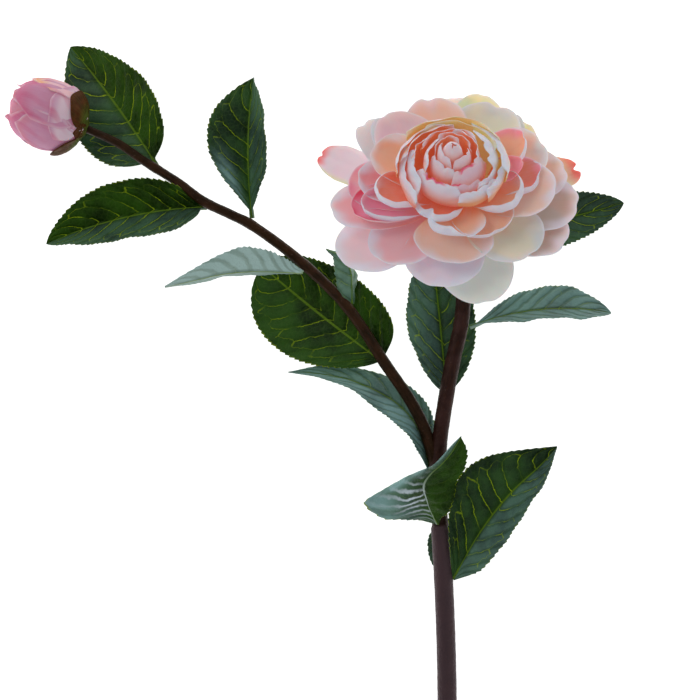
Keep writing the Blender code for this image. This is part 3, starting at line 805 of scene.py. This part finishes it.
def petal_grid(rows_below, rows_above, columns, widest, corners=0.5):
    """Outline coordinates of a petal: share along and across its spoon shape, how near to the rim
    each point lies, and how far above the widest place. Corners is 0.5 for a round end, less for a
    squarer one."""
    across = np.linspace(-1.0, 1.0, columns + 1)
    rows = []
    for share in np.arange(rows_below) / rows_below:
        half = PETAL_CLAW + (1 - PETAL_CLAW) * math.sin(share * math.pi / 2) ** 1.2
        rows.append((np.full_like(across, widest * share), half * across, np.abs(across),
                     np.full_like(across, share - 1)))
    for y in np.arange(rows_above + 1) / rows_above:
        up = y * np.sqrt(1 - corners * across ** 2)
        near_rim = np.hypot(y * np.sqrt(1 - across ** 2 / 2), across * math.sqrt(1 - y * y / 2))
        rows.append((widest + (1 - widest) * up, across * math.sqrt(1 - corners * y * y), near_rim, up))
    return tuple(np.array(values) for values in zip(*rows))


def rolled(near_rim, size, angle):
    """How far a rolled rim draws in and how far it lifts, for each point, in millimetres."""
    past = np.maximum(near_rim - ROLL_START, 0.0)
    turned = np.radians(angle) * past / (1 - ROLL_START)
    safe = np.where(np.abs(turned) > 1e-6, turned, 1e-6)
    drawn = past * size * (1 - np.sin(safe) / safe)
    lift = past * size * (1 - np.cos(safe)) / safe
    return drawn, lift


def flat_petal(index, petal, grid, length):
    """A petal laid flat, in millimetres: each point's place along and across it, and its lift by
    the roll and the waves of the rim and by a crease."""
    half, roll, lean, notch = petal[3] / 2, *petal[7:10]
    along, across, near_rim, top = grid
    tip_part = smooth(0.55, 1.0, near_rim) * smooth(-0.2, 0.8, top)
    around = np.arctan2(across, np.maximum(top, 1e-3))
    wave = ripples(index, around, 6.28, PETAL_RIPPLES)
    drawn, lift = rolled(near_rim, half, roll * np.clip(1 + lean * across * 1.6, 0.12, 1.25))
    fade = smooth(-0.75, 0.1, top)
    toward_tip = np.maximum(top, 0.0) / np.maximum(near_rim, 1e-6)
    toward_side = np.sqrt(np.maximum(1 - toward_tip ** 2, 0.0)) * np.sign(across)
    flat_along = along * length + (PETAL_RAGGED * wave - notch * hump(across, 0.0, 0.16)) * tip_part
    flat_along = flat_along - drawn * fade * toward_tip
    flat_across = across * half * (1 + 0.05 * jitter(index, 6) * top) - drawn * fade * toward_side
    lift = fade * (lift + PETAL_WAVE * wave * smooth(0.25, 1.0, near_rim))
    crease = hump(across, 0.2 * jitter(index, 7), 0.2) * smooth(0.1, 0.9, along)
    return flat_along, flat_across, lift - 0.5 * crease * jitter(index, 8)


def petal_surface(index, petal, grid):
    """Points of one petal in the flower's frame, in metres: bowed along it and cupped across."""
    azimuth, reach, rise, width, _, bow_degrees, cup_degrees = petal[:7]
    root = np.array((ROOT_RADIUS - ROOT_RADIUS_STEP * index, LOWEST_ROOT + ROOT_STEP * index))
    chord = np.array((reach, rise)) - root
    length = np.hypot(*chord)
    bow = math.radians(bow_degrees)
    first = math.atan2(chord[1], chord[0]) - bow
    bow_radius = length / (2 * math.sin(bow))
    cup_radius = width / 2 / math.radians(cup_degrees)
    flat_along, flat_across, lift = flat_petal(index, petal, grid, length)
    heading = first + 2 * bow * flat_along / length
    turn = flat_across / cup_radius
    inward = cup_radius - (cup_radius - lift) * np.cos(turn)
    out = root[0] + bow_radius * (np.sin(heading) - math.sin(first)) - np.sin(heading) * inward
    height = root[1] + bow_radius * (math.cos(first) - np.cos(heading)) + np.cos(heading) * inward
    points = np.stack((out, (cup_radius - lift) * np.sin(turn), height), axis=-1)
    return moved(points * MM, Matrix.Rotation(math.radians(azimuth), 4, "Z"))


def petal_tints(index, petal, grid):
    """Colours of the inner and the outer face of a petal."""
    base, middle, rim, outside = (linear(name) for name in petal[10:14])
    along, across, near_rim, top = grid
    uneven = 0.10 * np.sin(5 * across + 6 * jitter(index, 9))
    uneven = uneven + 0.06 * np.sin(11 * across + 6 * jitter(index, 3))
    inner = blended(base, middle, smooth(0.12, 0.60, along + uneven))
    inner = blended(inner, rim, smooth(0.55, 1.05, near_rim + uneven) * smooth(-0.5, 0.5, top))
    edge = smooth(0.93, 1.0, near_rim) * smooth(-0.3, 0.3, top)
    inner = blended(inner, 0.4 * rim + 0.6 * linear("white"), edge)
    outer = blended(middle, outside, smooth(0.05, 0.6, along))
    for stain, side, spread in STAINS.get(index + 1, []):
        if side:
            share = smooth(1 - spread, 1.0, side * across) * smooth(0.2, 0.5, along)
        else:
            share = smooth(1 - spread, 1.0, along + 0.1 * uneven) * 0.9
        inner = blended(inner, linear(stain), share)
        outer = blended(outer, linear(stain), share)
    return {"inner": inner, "outer": outer}


def make_petals(materials):
    """The separate outer and middle petals, each in the place of its solid."""
    matrix = stand(FLOWER_CENTRE, *FLOWER_TURNS)
    petals = []
    for i, petal in enumerate(PETALS):
        grid = petal_grid(*PETAL_GRID, petal[4])
        points = moved(petal_surface(i, petal, grid), matrix)
        half = PETAL_THICKNESS / 2 * MM * (1 - 0.6 * smooth(0.7, 1.0, grid[2]))
        looks = petal_tints(i, petal, grid) | {"petal": grain(grid[0], grid[1], i, i)}
        piece = sheet(f"flower_petal_{i + 1:02d}", points, half, half, materials, looks)
        petals.append(claimed(piece, f"petal_{i + 1:02d}"))
    return petals


def heart_surface(index, petal, grid):
    """Points of a petal that wraps part of the way round the heart and curls in at its rim."""
    azimuth, half_span, (foot_radius, foot), (widest_radius, widest), (rim_radius, rim) = petal[:5]
    along, across, near_rim, top = grid
    wave = ripples(index, np.arctan2(across, np.maximum(top, 1e-3)), 6, HEART_RIPPLES)
    notch = sum(hump(across, 0.7 * jitter(index, seed), 0.1) for seed in (11, 12, 13))
    ragged = 0.035 * wave - 0.05 * notch
    along = along + ragged * smooth(0.4, 1.0, near_rim) * smooth(-0.2, 0.6, top)
    low = np.clip(along / HEART_WIDEST, 0, 1) * math.pi / 2
    high = np.clip((along - HEART_WIDEST) / (1 - HEART_WIDEST), 0, 1.2) * HEART_CURL
    drawn_in = (widest_radius - rim_radius) * (1 - np.cos(high)) / (1 - math.cos(HEART_CURL))
    radius = foot_radius + (widest_radius - foot_radius) * np.sin(low) - drawn_in
    uneven = HEART_SPIRAL * across + HEART_RAGGED * wave * smooth(0.3, 1.0, near_rim)
    radius = radius + min(1.0, widest_radius / 16) * uneven
    height = foot + (widest - foot) * (1 - np.cos(low))
    height = height + (rim - widest) * np.sin(high) / math.sin(HEART_CURL)
    points = around_axis(radius, np.radians(azimuth + half_span * across), height)
    points[..., 1] += HEART_LEAN * np.maximum(height - 22, 0) * (1 - smooth(10, 22, radius))
    return (points + np.array(HEART_MIDDLE)) * MM


def make_heart(materials):
    """The ring and the spiral of small furled petals in the middle of the flower."""
    grid = petal_grid(*HEART_GRID, HEART_WIDEST, HEART_CORNERS)
    along, across, near_rim, top = grid
    matrix = stand(FLOWER_CENTRE, *FLOWER_TURNS)
    edge = near_rim * smooth(-0.3, 0.3, top)
    half = PETAL_THICKNESS / 2 * MM * (1 - 0.5 * smooth(0.7, 1.0, edge))
    petals = []
    for i, petal in enumerate(HEART):
        points = moved(heart_surface(i, petal, grid), matrix)
        inside, outside, rim = (linear(name) for name in petal[5:8])
        line = smooth(0.86, 0.93, edge) * (1 - smooth(0.3, 0.6, np.abs(across + 0.1))) * petal[8]
        inner = blended(inside, rim, smooth(0.6, 1.0, edge))
        outer = blended(inside, outside, smooth(0.42, 0.84, along))
        outer = blended(outer, rim, smooth(0.75, 1.0, edge))
        looks = {"inner": blended(inner, linear("hot"), line),
                 "outer": blended(outer, linear("hot"), line),
                 "petal": grain(along, across * 1.5, i, 40.0 + i)}
        piece = sheet(f"heart_petal_{i + 1:02d}", points, half, half, materials, looks)
        petals.append(claimed(piece, "flower_heart"))
    return petals


# Leaves

def seat_on_branch(point):
    """The point moved to just off the surface of the nearest branch, with its side kept."""
    seats = []
    for centre_line, (first_radius, last_radius) in BRANCHES:
        path = smooth_path(centre_line, 8)
        for i, (start, end) in enumerate(zip(path, path[1:])):
            step = end - start
            share = max(0.0, min(1.0, (point - start).dot(step) / step.length_squared))
            foot = start + step * share
            radius = first_radius + (last_radius - first_radius) * i / len(path)
            seats.append(((point - foot).length - radius, foot, radius))
    _, foot, radius = min(seats, key=lambda seat: seat[0])
    return foot + (point - foot).normalized() * (radius + SEAT_GAP)


def along_path(points, shares):
    """Points at shares of the way along the smooth curve through the given ones."""
    path = np.array([tuple(p) for p in smooth_path(points, 12)])
    places = np.linspace(0.0, 1.0, len(path))
    return np.stack([np.interp(shares, places, path[:, axis]) for axis in range(3)], axis=-1)


def half_widths(blade, leaf):
    """Half widths of the left and the right side of a leaf, along its blade."""
    narrowest = (PETIOLE_WIDTH + (LEAF_TIP_WIDTH - PETIOLE_WIDTH) * blade) / 2
    halves = []
    for width, key in zip(leaf["widths"], ("fullness", "right_fullness")):
        toward_base, toward_tip = leaf.get(key, leaf["fullness"])
        peak = toward_base / (toward_base + toward_tip)
        shape = (blade / peak) ** toward_base * ((1 - blade) / (1 - peak)) ** toward_tip
        halves.append(np.maximum(width * shape, narrowest))
    return halves


def leaf_lines(leaf, shares, blade):
    """The midrib and the left and right margins of a leaf, in millimetres."""
    if "margins" in leaf:
        return tuple(along_path(line, shares) for line in (leaf["midrib"], *leaf["margins"]))
    root = np.array(seat_on_branch(Vector(leaf["root"])))
    tip, bow = np.array(leaf["tip"]), np.array(leaf["bow"])
    bend = (root + tip) / 2 + 2 * bow
    s = shares[:, None]
    midrib = root * (1 - s) ** 2 + 2 * bend * s * (1 - s) + tip * s ** 2
    heading = unit((bend - root) * (1 - s) + (tip - bend) * s)
    up = unit(np.array((0.0, 0.0, 1.0)) - heading * heading[:, 2:])
    side = np.cross(heading, up)
    margins = []
    for sign, rise, half in zip((-1, 1), leaf["rises"], half_widths(blade, leaf)):
        turned = np.radians(rise) - sign * np.radians(leaf["twist"]) * (shares - 0.5)
        outward = side * (sign * np.cos(turned))[:, None] + up * np.sin(turned)[:, None]
        margins.append(midrib + outward * half[:, None])
    return midrib, *margins


def leaf_teeth(blade, length):
    """How far each place of the margin stands out with its tooth, from -0.5 to 0.5."""
    teeth = np.where(blade > 0.04, (blade * length / TOOTH_SPACING) % 1.0 - 0.5, 0.0)
    return teeth * smooth(0.04, 0.12, blade) * (1 - smooth(0.93, 1.0, blade))


def leaf_surface(index, leaf, shares, across):
    """A leaf's points and half widths in millimetres, its vein phase, and the share along its blade."""
    blade = np.clip((shares - PETIOLE_SHARE) / (1 - PETIOLE_SHARE), 0.0, 1.0)
    midrib, left, right = leaf_lines(leaf, shares, blade)
    heading = unit(np.gradient(midrib, axis=0))
    length = np.linalg.norm(np.diff(midrib, axis=0), axis=1).sum()
    veins = max(5, round(length / VEIN_SPACING))
    teeth = leaf_teeth(blade, length)
    columns = []
    for x in across:
        out = abs(x)
        sign = 1.0 if x > 0 else -1.0
        reach = (right if x > 0 else left) - midrib
        half = np.maximum(np.linalg.norm(reach, axis=1), 1e-6)
        outward = reach / half[:, None]
        normal = unit(sign * np.cross(outward, heading))
        phase = veins * (blade - VEIN_SLANT * out ** 1.2)
        phase += (0.37 if x > 0 else 0.0) + 0.16 * np.sin(9 * blade + 2 * index + 2 * sign)
        ridge = np.abs(np.sin(math.pi * phase)) ** 0.8
        small = np.minimum(half / 8, 1.0)
        swell = LEAF_QUILTING * ridge * out * (1 - out ** 4) * small
        wave = np.sin(2 * math.pi * 2.3 * blade + 3 * jitter(index, sign))
        wave += 0.5 * np.sin(2 * math.pi * 5.1 * blade + 3 * jitter(index, sign, 2))
        flutter = LEAF_FLUTTER * wave * out ** 2 * small
        sag = half * math.radians(leaf.get("curl", LEAF_CURL)) / 2 * out * (1 - out)
        tooth = TOOTH_DEPTH * teeth * smooth(0.86, 1.0, out) * small
        points = midrib + outward * (half * out + tooth)[:, None]
        columns.append((points + normal * (swell + flutter - sag)[:, None], half, phase))
    return *(np.stack(values, axis=1) for values in zip(*columns)), blade[:, None]


def leaf_patch(patch, along, side):
    """A soft patch on a leaf: its middle along and across, its spreads and its strength."""
    middle_along, middle_side, spread_along, spread_side, strength = patch
    return strength * hump(along, middle_along, spread_along) * hump(side, middle_side, spread_side)


def make_leaf(index, name, leaf, across, materials):
    """One toothed leaf with a raised midrib below and a furrow above."""
    given = leaf.get("midrib", (leaf.get("root"), leaf.get("tip")))
    length = sum((Vector(b) - Vector(a)).length for a, b in zip(given, given[1:]))
    rows = int(length / TOOTH_SPACING) * ROWS_PER_TOOTH
    points, half, phase, blade = leaf_surface(index, leaf, np.linspace(0.0, 1.0, rows + 1), across)
    along = np.broadcast_to(blade, phase.shape)
    side = np.broadcast_to(across, phase.shape)
    from_rib = np.abs(side) * half
    rib = hump(from_rib, 0.0, RIB_SIZE * (1 - 0.7 * blade))
    stalk = 1 - smooth(0.0, 0.07, blade)
    thin = LEAF_THICKNESS / 2 * (1 - 0.5 * smooth(0.8, 1.0, np.abs(side)))
    above = (thin - FURROW_DEPTH * rib * (blade > 0.02)) * MM
    below = (thin + rib * (RIB_DEPTH * (1 - blade) ** 0.7 + STALK_DEPTH * stalk)) * MM
    # Painted glints, in the patch set by gleam, on the left half only.
    gleam = leaf_patch(leaf.get("gleam", NO_PATCH), along, side) * (side < 0.05)
    # Painted blue-grey sheen of each half, plus a soft patch of it where pale is set.
    left_painted_sheen, right_painted_sheen = leaf["painted_sheen"]
    painted_sheen = np.where(side > 0, right_painted_sheen, left_painted_sheen) * smooth(0.0, 0.15, np.abs(side))
    painted_sheen = np.minimum(painted_sheen + leaf_patch(leaf.get("pale", NO_PATCH), along, side), 1.0)
    near_rib = np.maximum(rib, stalk * hump(from_rib, 0.0, STALK_SIZE))
    veins, youth = (np.full_like(side, leaf.get(key, 0.0)) for key in ("veins", "youth"))
    looks = {"leaf": np.stack((along, side, phase, gleam), axis=-1),
             "looks": np.stack((veins, painted_sheen, youth, near_rib), axis=-1)}
    piece = sheet(f"blade_{name}", in_place(points), above, below, materials, looks)
    return claimed(piece, f"leaf_{name}")


def make_leaves(materials):
    """The leaves, each in the place of its solid, with columns closer together at the margins."""
    across = np.linspace(1, -1, LEAF_COLUMNS)
    across = np.sign(across) * np.abs(across) ** 0.9
    return [make_leaf(i, name, leaf, across, materials) for i, (name, leaf) in enumerate(LEAVES.items())]


# Stem

def tube(name, path, radii, materials, sides, bumpiness):
    """A closed round branch along a path of points, with an uneven surface and flat ends."""
    points = np.array([np.array(p) for p in path])
    heading = unit(np.gradient(points, axis=0))
    first = unit(np.cross(heading, np.array((0.0, 0.0, 1.0))))[:, None]
    second = np.cross(heading[:, None], first)
    angle = np.linspace(0, 2 * math.pi, sides, endpoint=False)
    steps = np.linalg.norm(np.diff(points, axis=0), axis=1)
    length = np.concatenate(([0.0], np.cumsum(steps)))[:, None]
    uneven = np.sin(length * 0.9 + 2 * angle) * np.sin(length * 0.37)
    uneven = uneven + 0.6 * np.sin(length * 2.3 - 3 * angle + 1.0)
    radius = np.asarray(radii)[:, None] + uneven * bumpiness
    ring = first * np.cos(angle)[:, None] + second * np.sin(angle)[:, None]
    surface = points[:, None] + ring * radius[..., None]
    bark = around_axis(radius, angle, length + 0 * angle)
    corner = np.arange(len(points) * sides).reshape(-1, sides)
    after = np.roll(corner, -1, axis=1)
    quads = np.stack((corner[:-1], after[:-1], after[1:], corner[1:]), axis=-1).reshape(-1, 4)
    faces = list(quads)
    for j in range(sides):
        faces.append((corner.size, after[0, j], corner[0, j]))
        faces.append((corner.size + 1, corner[-1, j], after[-1, j]))
    kinds = [0] * len(quads) + [1] * (2 * sides)
    all_points = np.concatenate((surface.reshape(-1, 3), points[:1], points[-1:]))
    all_bark = np.concatenate((bark.reshape(-1, 3), [[0, 0, 0]], [[0, 0, length[-1, 0]]])) * MM
    piece = new_mesh(name, in_place(all_points), faces, kinds, materials, {"bark": all_bark})
    return claimed(piece, "stem")


def swollen(path, end_radii, knots):
    """Radii along a path, thicker round each knot (place, growth, spread)."""
    radii = np.linspace(*end_radii, len(path))
    for place, growth, spread in knots:
        distance = np.array([(p - Vector(place)).length for p in path])
        radii = radii + growth * hump(distance, 0.0, spread)
    return radii


def make_stem(cut):
    """The forked stem, as a trunk and the branch that carries the bud."""
    roots = [leaf["root"] if "root" in leaf else leaf["midrib"][0] for leaf in LEAVES.values()]
    leaf_seats = [(seat_on_branch(Vector(root)), *LEAF_SWELLING) for root in roots]
    path = smooth_path(TRUNK, 16)
    sleeve = SLEEVE_THICKNESS * (1 - smooth(SLEEVE_END, SLEEVE_END + 0.8, np.array([p.y for p in path])))
    radii = swollen(path, TRUNK_RADIUS, leaf_seats + [FORK_SWELLING]) + sleeve
    path = [p + Vector((0.0, 0.0, rise)) for p, rise in zip(path, sleeve)]
    bark = bark_material("bark_trunk", dark=(34, 14, 10), light=(58, 34, 32), roughness=0.36,
                         sleeve=(84, 68, 75))
    trunk = tube("stem_trunk", path, radii, (bark, cut), sides=28, bumpiness=0.05)
    path = smooth_path(BUD_BRANCH, 16)
    radii = swollen(path, BUD_BRANCH_RADIUS, leaf_seats)
    bark = bark_material("bark_branch", dark=(30, 18, 4), light=(54, 32, 14), roughness=0.34)
    return [trunk, tube("stem_bud_branch", path, radii, (bark, cut), sides=24, bumpiness=0.04)]


# Bud and calyx

def bud_radius(height):
    """Radius of the furled bud at heights above its base, with its corners rounded off."""
    radii, heights = zip(*reversed(BUD_PROFILE))
    return sum(np.interp(height + shift, heights, radii) for shift in (-1.6, -0.8, 0.0, 0.8, 1.6)) / 5


def bud_sheet(index, wrap, across, up, foot, rounding):
    """Points of a piece wrapped round the bud, with an uneven tip that ends in a point."""
    middle, half_span, tip, layer, point = wrap
    outline = 1 - rounding * np.abs(across) ** 2.4 + 0.012 * np.sin(7 * across + index)
    level = foot + (tip - foot) * up * outline
    level = level + point * hump(across, 0.2 * jitter(index, 2), 0.22) * up ** 6
    span = half_span * (0.55 + 0.45 * smooth(0.0, 0.4, up))
    radius = (1 + 0.014 * layer) * bud_radius(np.minimum(level, BUD_MOUTH))
    radius = radius + 0.5 * smooth(0.8, 1.0, np.abs(across)) + 0.25 * np.sin(5 * across + 3 * up + index)
    points = around_axis(radius, np.radians(middle + span * across), level) * MM
    return moved(points, stand(BUD_BASE, *BUD_TURNS))


def wrapped_tints(index, tints, across, up):
    """Colours of a wrapped petal: foot, middle and tip, a mauve edge and pink streaks."""
    base, body, end = (linear(tint) for tint in tints)
    colour = blended(blended(base, body, smooth(0.1, 0.5, up)), end, smooth(0.7, 1.0, up))
    edge = np.maximum(smooth(0.88, 1.0, np.abs(across)), smooth(0.94, 1.0, up))
    colour = blended(colour, linear("mauve"), edge * 0.6)
    streak = smooth(0.1, 0.9, np.sin(9 * across + 2 * np.sin(5 * up) + index)) * smooth(0.3, 0.8, up)
    return blended(colour, linear("bud_pink"), 0.45 * streak)


def scale_colour(up):
    """Green at the foot of a scale, turning brown."""
    return blended(linear((92, 108, 40)), linear((92, 42, 16)), smooth(0.15, 0.6, up))


def make_bud(petal_pair, scale_pair):
    """The closed bud: a furled core, wrapped petals and scales at its base."""
    across, up = np.meshgrid(np.linspace(1, -1, 49), np.linspace(0, 1, 37))
    pieces = []
    for i, (node, *wrap, base, body, end) in enumerate(BUD_PETALS):
        colour = wrapped_tints(i, (base, body, end), across, up)
        looks = {"inner": colour, "outer": colour, "petal": grain(up, across, 70 + i, 70 + i)}
        points = bud_sheet(i, wrap, across, up, foot=1.5, rounding=0.34)
        half = PETAL_THICKNESS / 2 * MM
        piece = sheet(f"wrapped_petal_{i + 1}", points, half, half, petal_pair, looks)
        pieces.append(claimed(piece, node))
    for i, (node, *wrap) in enumerate(BUD_SEPALS):
        looks = {"inner": scale_colour(up), "petal": grain(up, across, 80 + i, 80 + i)}
        points = bud_sheet(i, wrap, across, up, foot=0.4, rounding=0.62)
        half = SCALE_THICKNESS / 2 * MM
        piece = sheet(f"bud_scale_{i + 1}", points, half, half, scale_pair, looks)
        pieces.append(claimed(piece, node))
    return pieces + [make_bud_core(petal_pair)]


def make_bud_core(petal_pair):
    """The furled petals inside the bud, as one closed form."""
    turn, up = np.meshgrid(np.linspace(1, -1, 49), np.linspace(0, 1, 25))
    level = BUD_PROFILE[-1][1] + (BUD_MOUTH + 1.0) * np.sin(up * math.pi / 2)
    radius = bud_radius(level) * 0.97 * np.sqrt(np.minimum((level[-1] - level) / 2, 1.0))
    points = moved(around_axis(radius, math.pi * turn, level) * MM, stand(BUD_BASE, *BUD_TURNS))
    colour = blended(linear("rosy"), linear("bud_pink"), up)
    looks = {"inner": colour, "outer": colour, "petal": np.stack((up, 3 * turn, level), axis=-1)}
    core = sheet("bud_core", points, SKIN * MM, SKIN * MM, petal_pair, looks)
    return claimed(core, "bud_heart")


def make_calyx(scale_pair):
    """The swollen end of the stalk under the flower, and its ring of scales."""
    matrix = stand(FLOWER_CENTRE, *FLOWER_TURNS)
    turn, step = np.meshgrid(np.linspace(0, 2 * math.pi, 41), np.linspace(0, len(RECEPTACLE) - 1, 25))
    radius, height = (np.interp(step, range(len(RECEPTACLE)), line) for line in zip(*RECEPTACLE))
    share = step / (len(RECEPTACLE) - 1)
    looks = {"inner": scale_colour(share), "petal": np.stack((share, turn / 3, height), axis=-1)}
    points = moved(around_axis(radius, turn, height) * MM, matrix)
    pieces = [sheet("flower_receptacle", points, SKIN * MM, SKIN * MM, scale_pair, looks)]
    half = SCALE_THICKNESS / 2 * MM
    foot, foot_height = FLOWER_SEPAL_FOOT
    across, up = np.meshgrid(np.linspace(-1, 1, 25), np.linspace(0, 1, 21))
    for i, (azimuth, half_span, reach) in enumerate(FLOWER_SEPALS):
        out = foot + (reach - foot) * up * (1 - 0.35 * across ** 2)
        height = foot_height + FLOWER_SEPAL_RISE * up + FLOWER_SEPAL_STEP * i
        angle = np.radians(azimuth + half_span * across * (1 - 0.45 * up ** 3))
        points = moved(around_axis(out, angle, height) * MM, matrix)
        looks = {"inner": scale_colour(up), "petal": grain(up, across, 90 + i, 90 + i)}
        pieces.append(sheet(f"flower_scale_{i + 1}", points, half, half, scale_pair, looks))
    return [claimed(piece, "flower_calyx") for piece in pieces]


# Stage

def make_floor():
    bpy.ops.mesh.primitive_plane_add(size=FLOOR_SIZE, location=(0, 0, 0))
    floor = bpy.context.object
    floor.name = "floor"
    floor.data.materials.append(floor_material())


def add_lamp(name, location, size, energy, colour):
    """A round soft lamp that the camera doesn't see."""
    data = bpy.data.lights.new(name, "AREA")
    data.shape = "DISK"
    data.size = size
    data.energy = energy
    data.color = colour
    lamp = new_object(name, data)
    lamp.location = location
    lamp.rotation_euler = (LAMPS_AIM - lamp.location).to_track_quat("-Z", "Y").to_euler()
    lamp.visible_camera = False


def make_sky():
    """A white sky, brighter towards the horizon."""
    world = bpy.data.worlds.new("studio")
    bpy.context.scene.world = world
    nodes = Nodes(world, "Background")
    place = nodes.add("ShaderNodeTexCoord").outputs["Generated"]
    glow = nodes.split(place)[2].ramp(0.15, 0.85, HORIZON_GLOW, ZENITH_GLOW)
    nodes.feed(nodes.shader.inputs["Color"], SKY_COLOUR)
    nodes.feed(nodes.shader.inputs["Strength"], glow)


def make_camera():
    data = bpy.data.cameras.new("camera")
    data.lens = CAMERA_LENS
    data.sensor_width = 36.0
    camera = new_object("camera", data)
    camera.location = (*CAMERA_OVER, CAMERA_HEIGHT)
    bpy.context.scene.camera = camera


def main():
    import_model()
    scene = bpy.context.scene
    scene.view_settings.view_transform = "Standard"
    make_camera()
    make_sky()
    for name, lamp in LAMPS.items():
        add_lamp(name, *lamp)
    make_floor()
    petal_pair = (petal_material("petal_inside", "inner"), petal_material("petal_outside", "outer"))
    scale_pair = (calyx_material(),) * 2
    pieces = make_petals(petal_pair) + make_heart(petal_pair)
    pieces += make_leaves((leaf_upper_material(), leaf_under_material()))
    pieces += make_stem(cut_material())
    pieces += make_bud(petal_pair, scale_pair) + make_calyx(scale_pair)
    for piece in pieces:
        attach(piece, "root")


main()
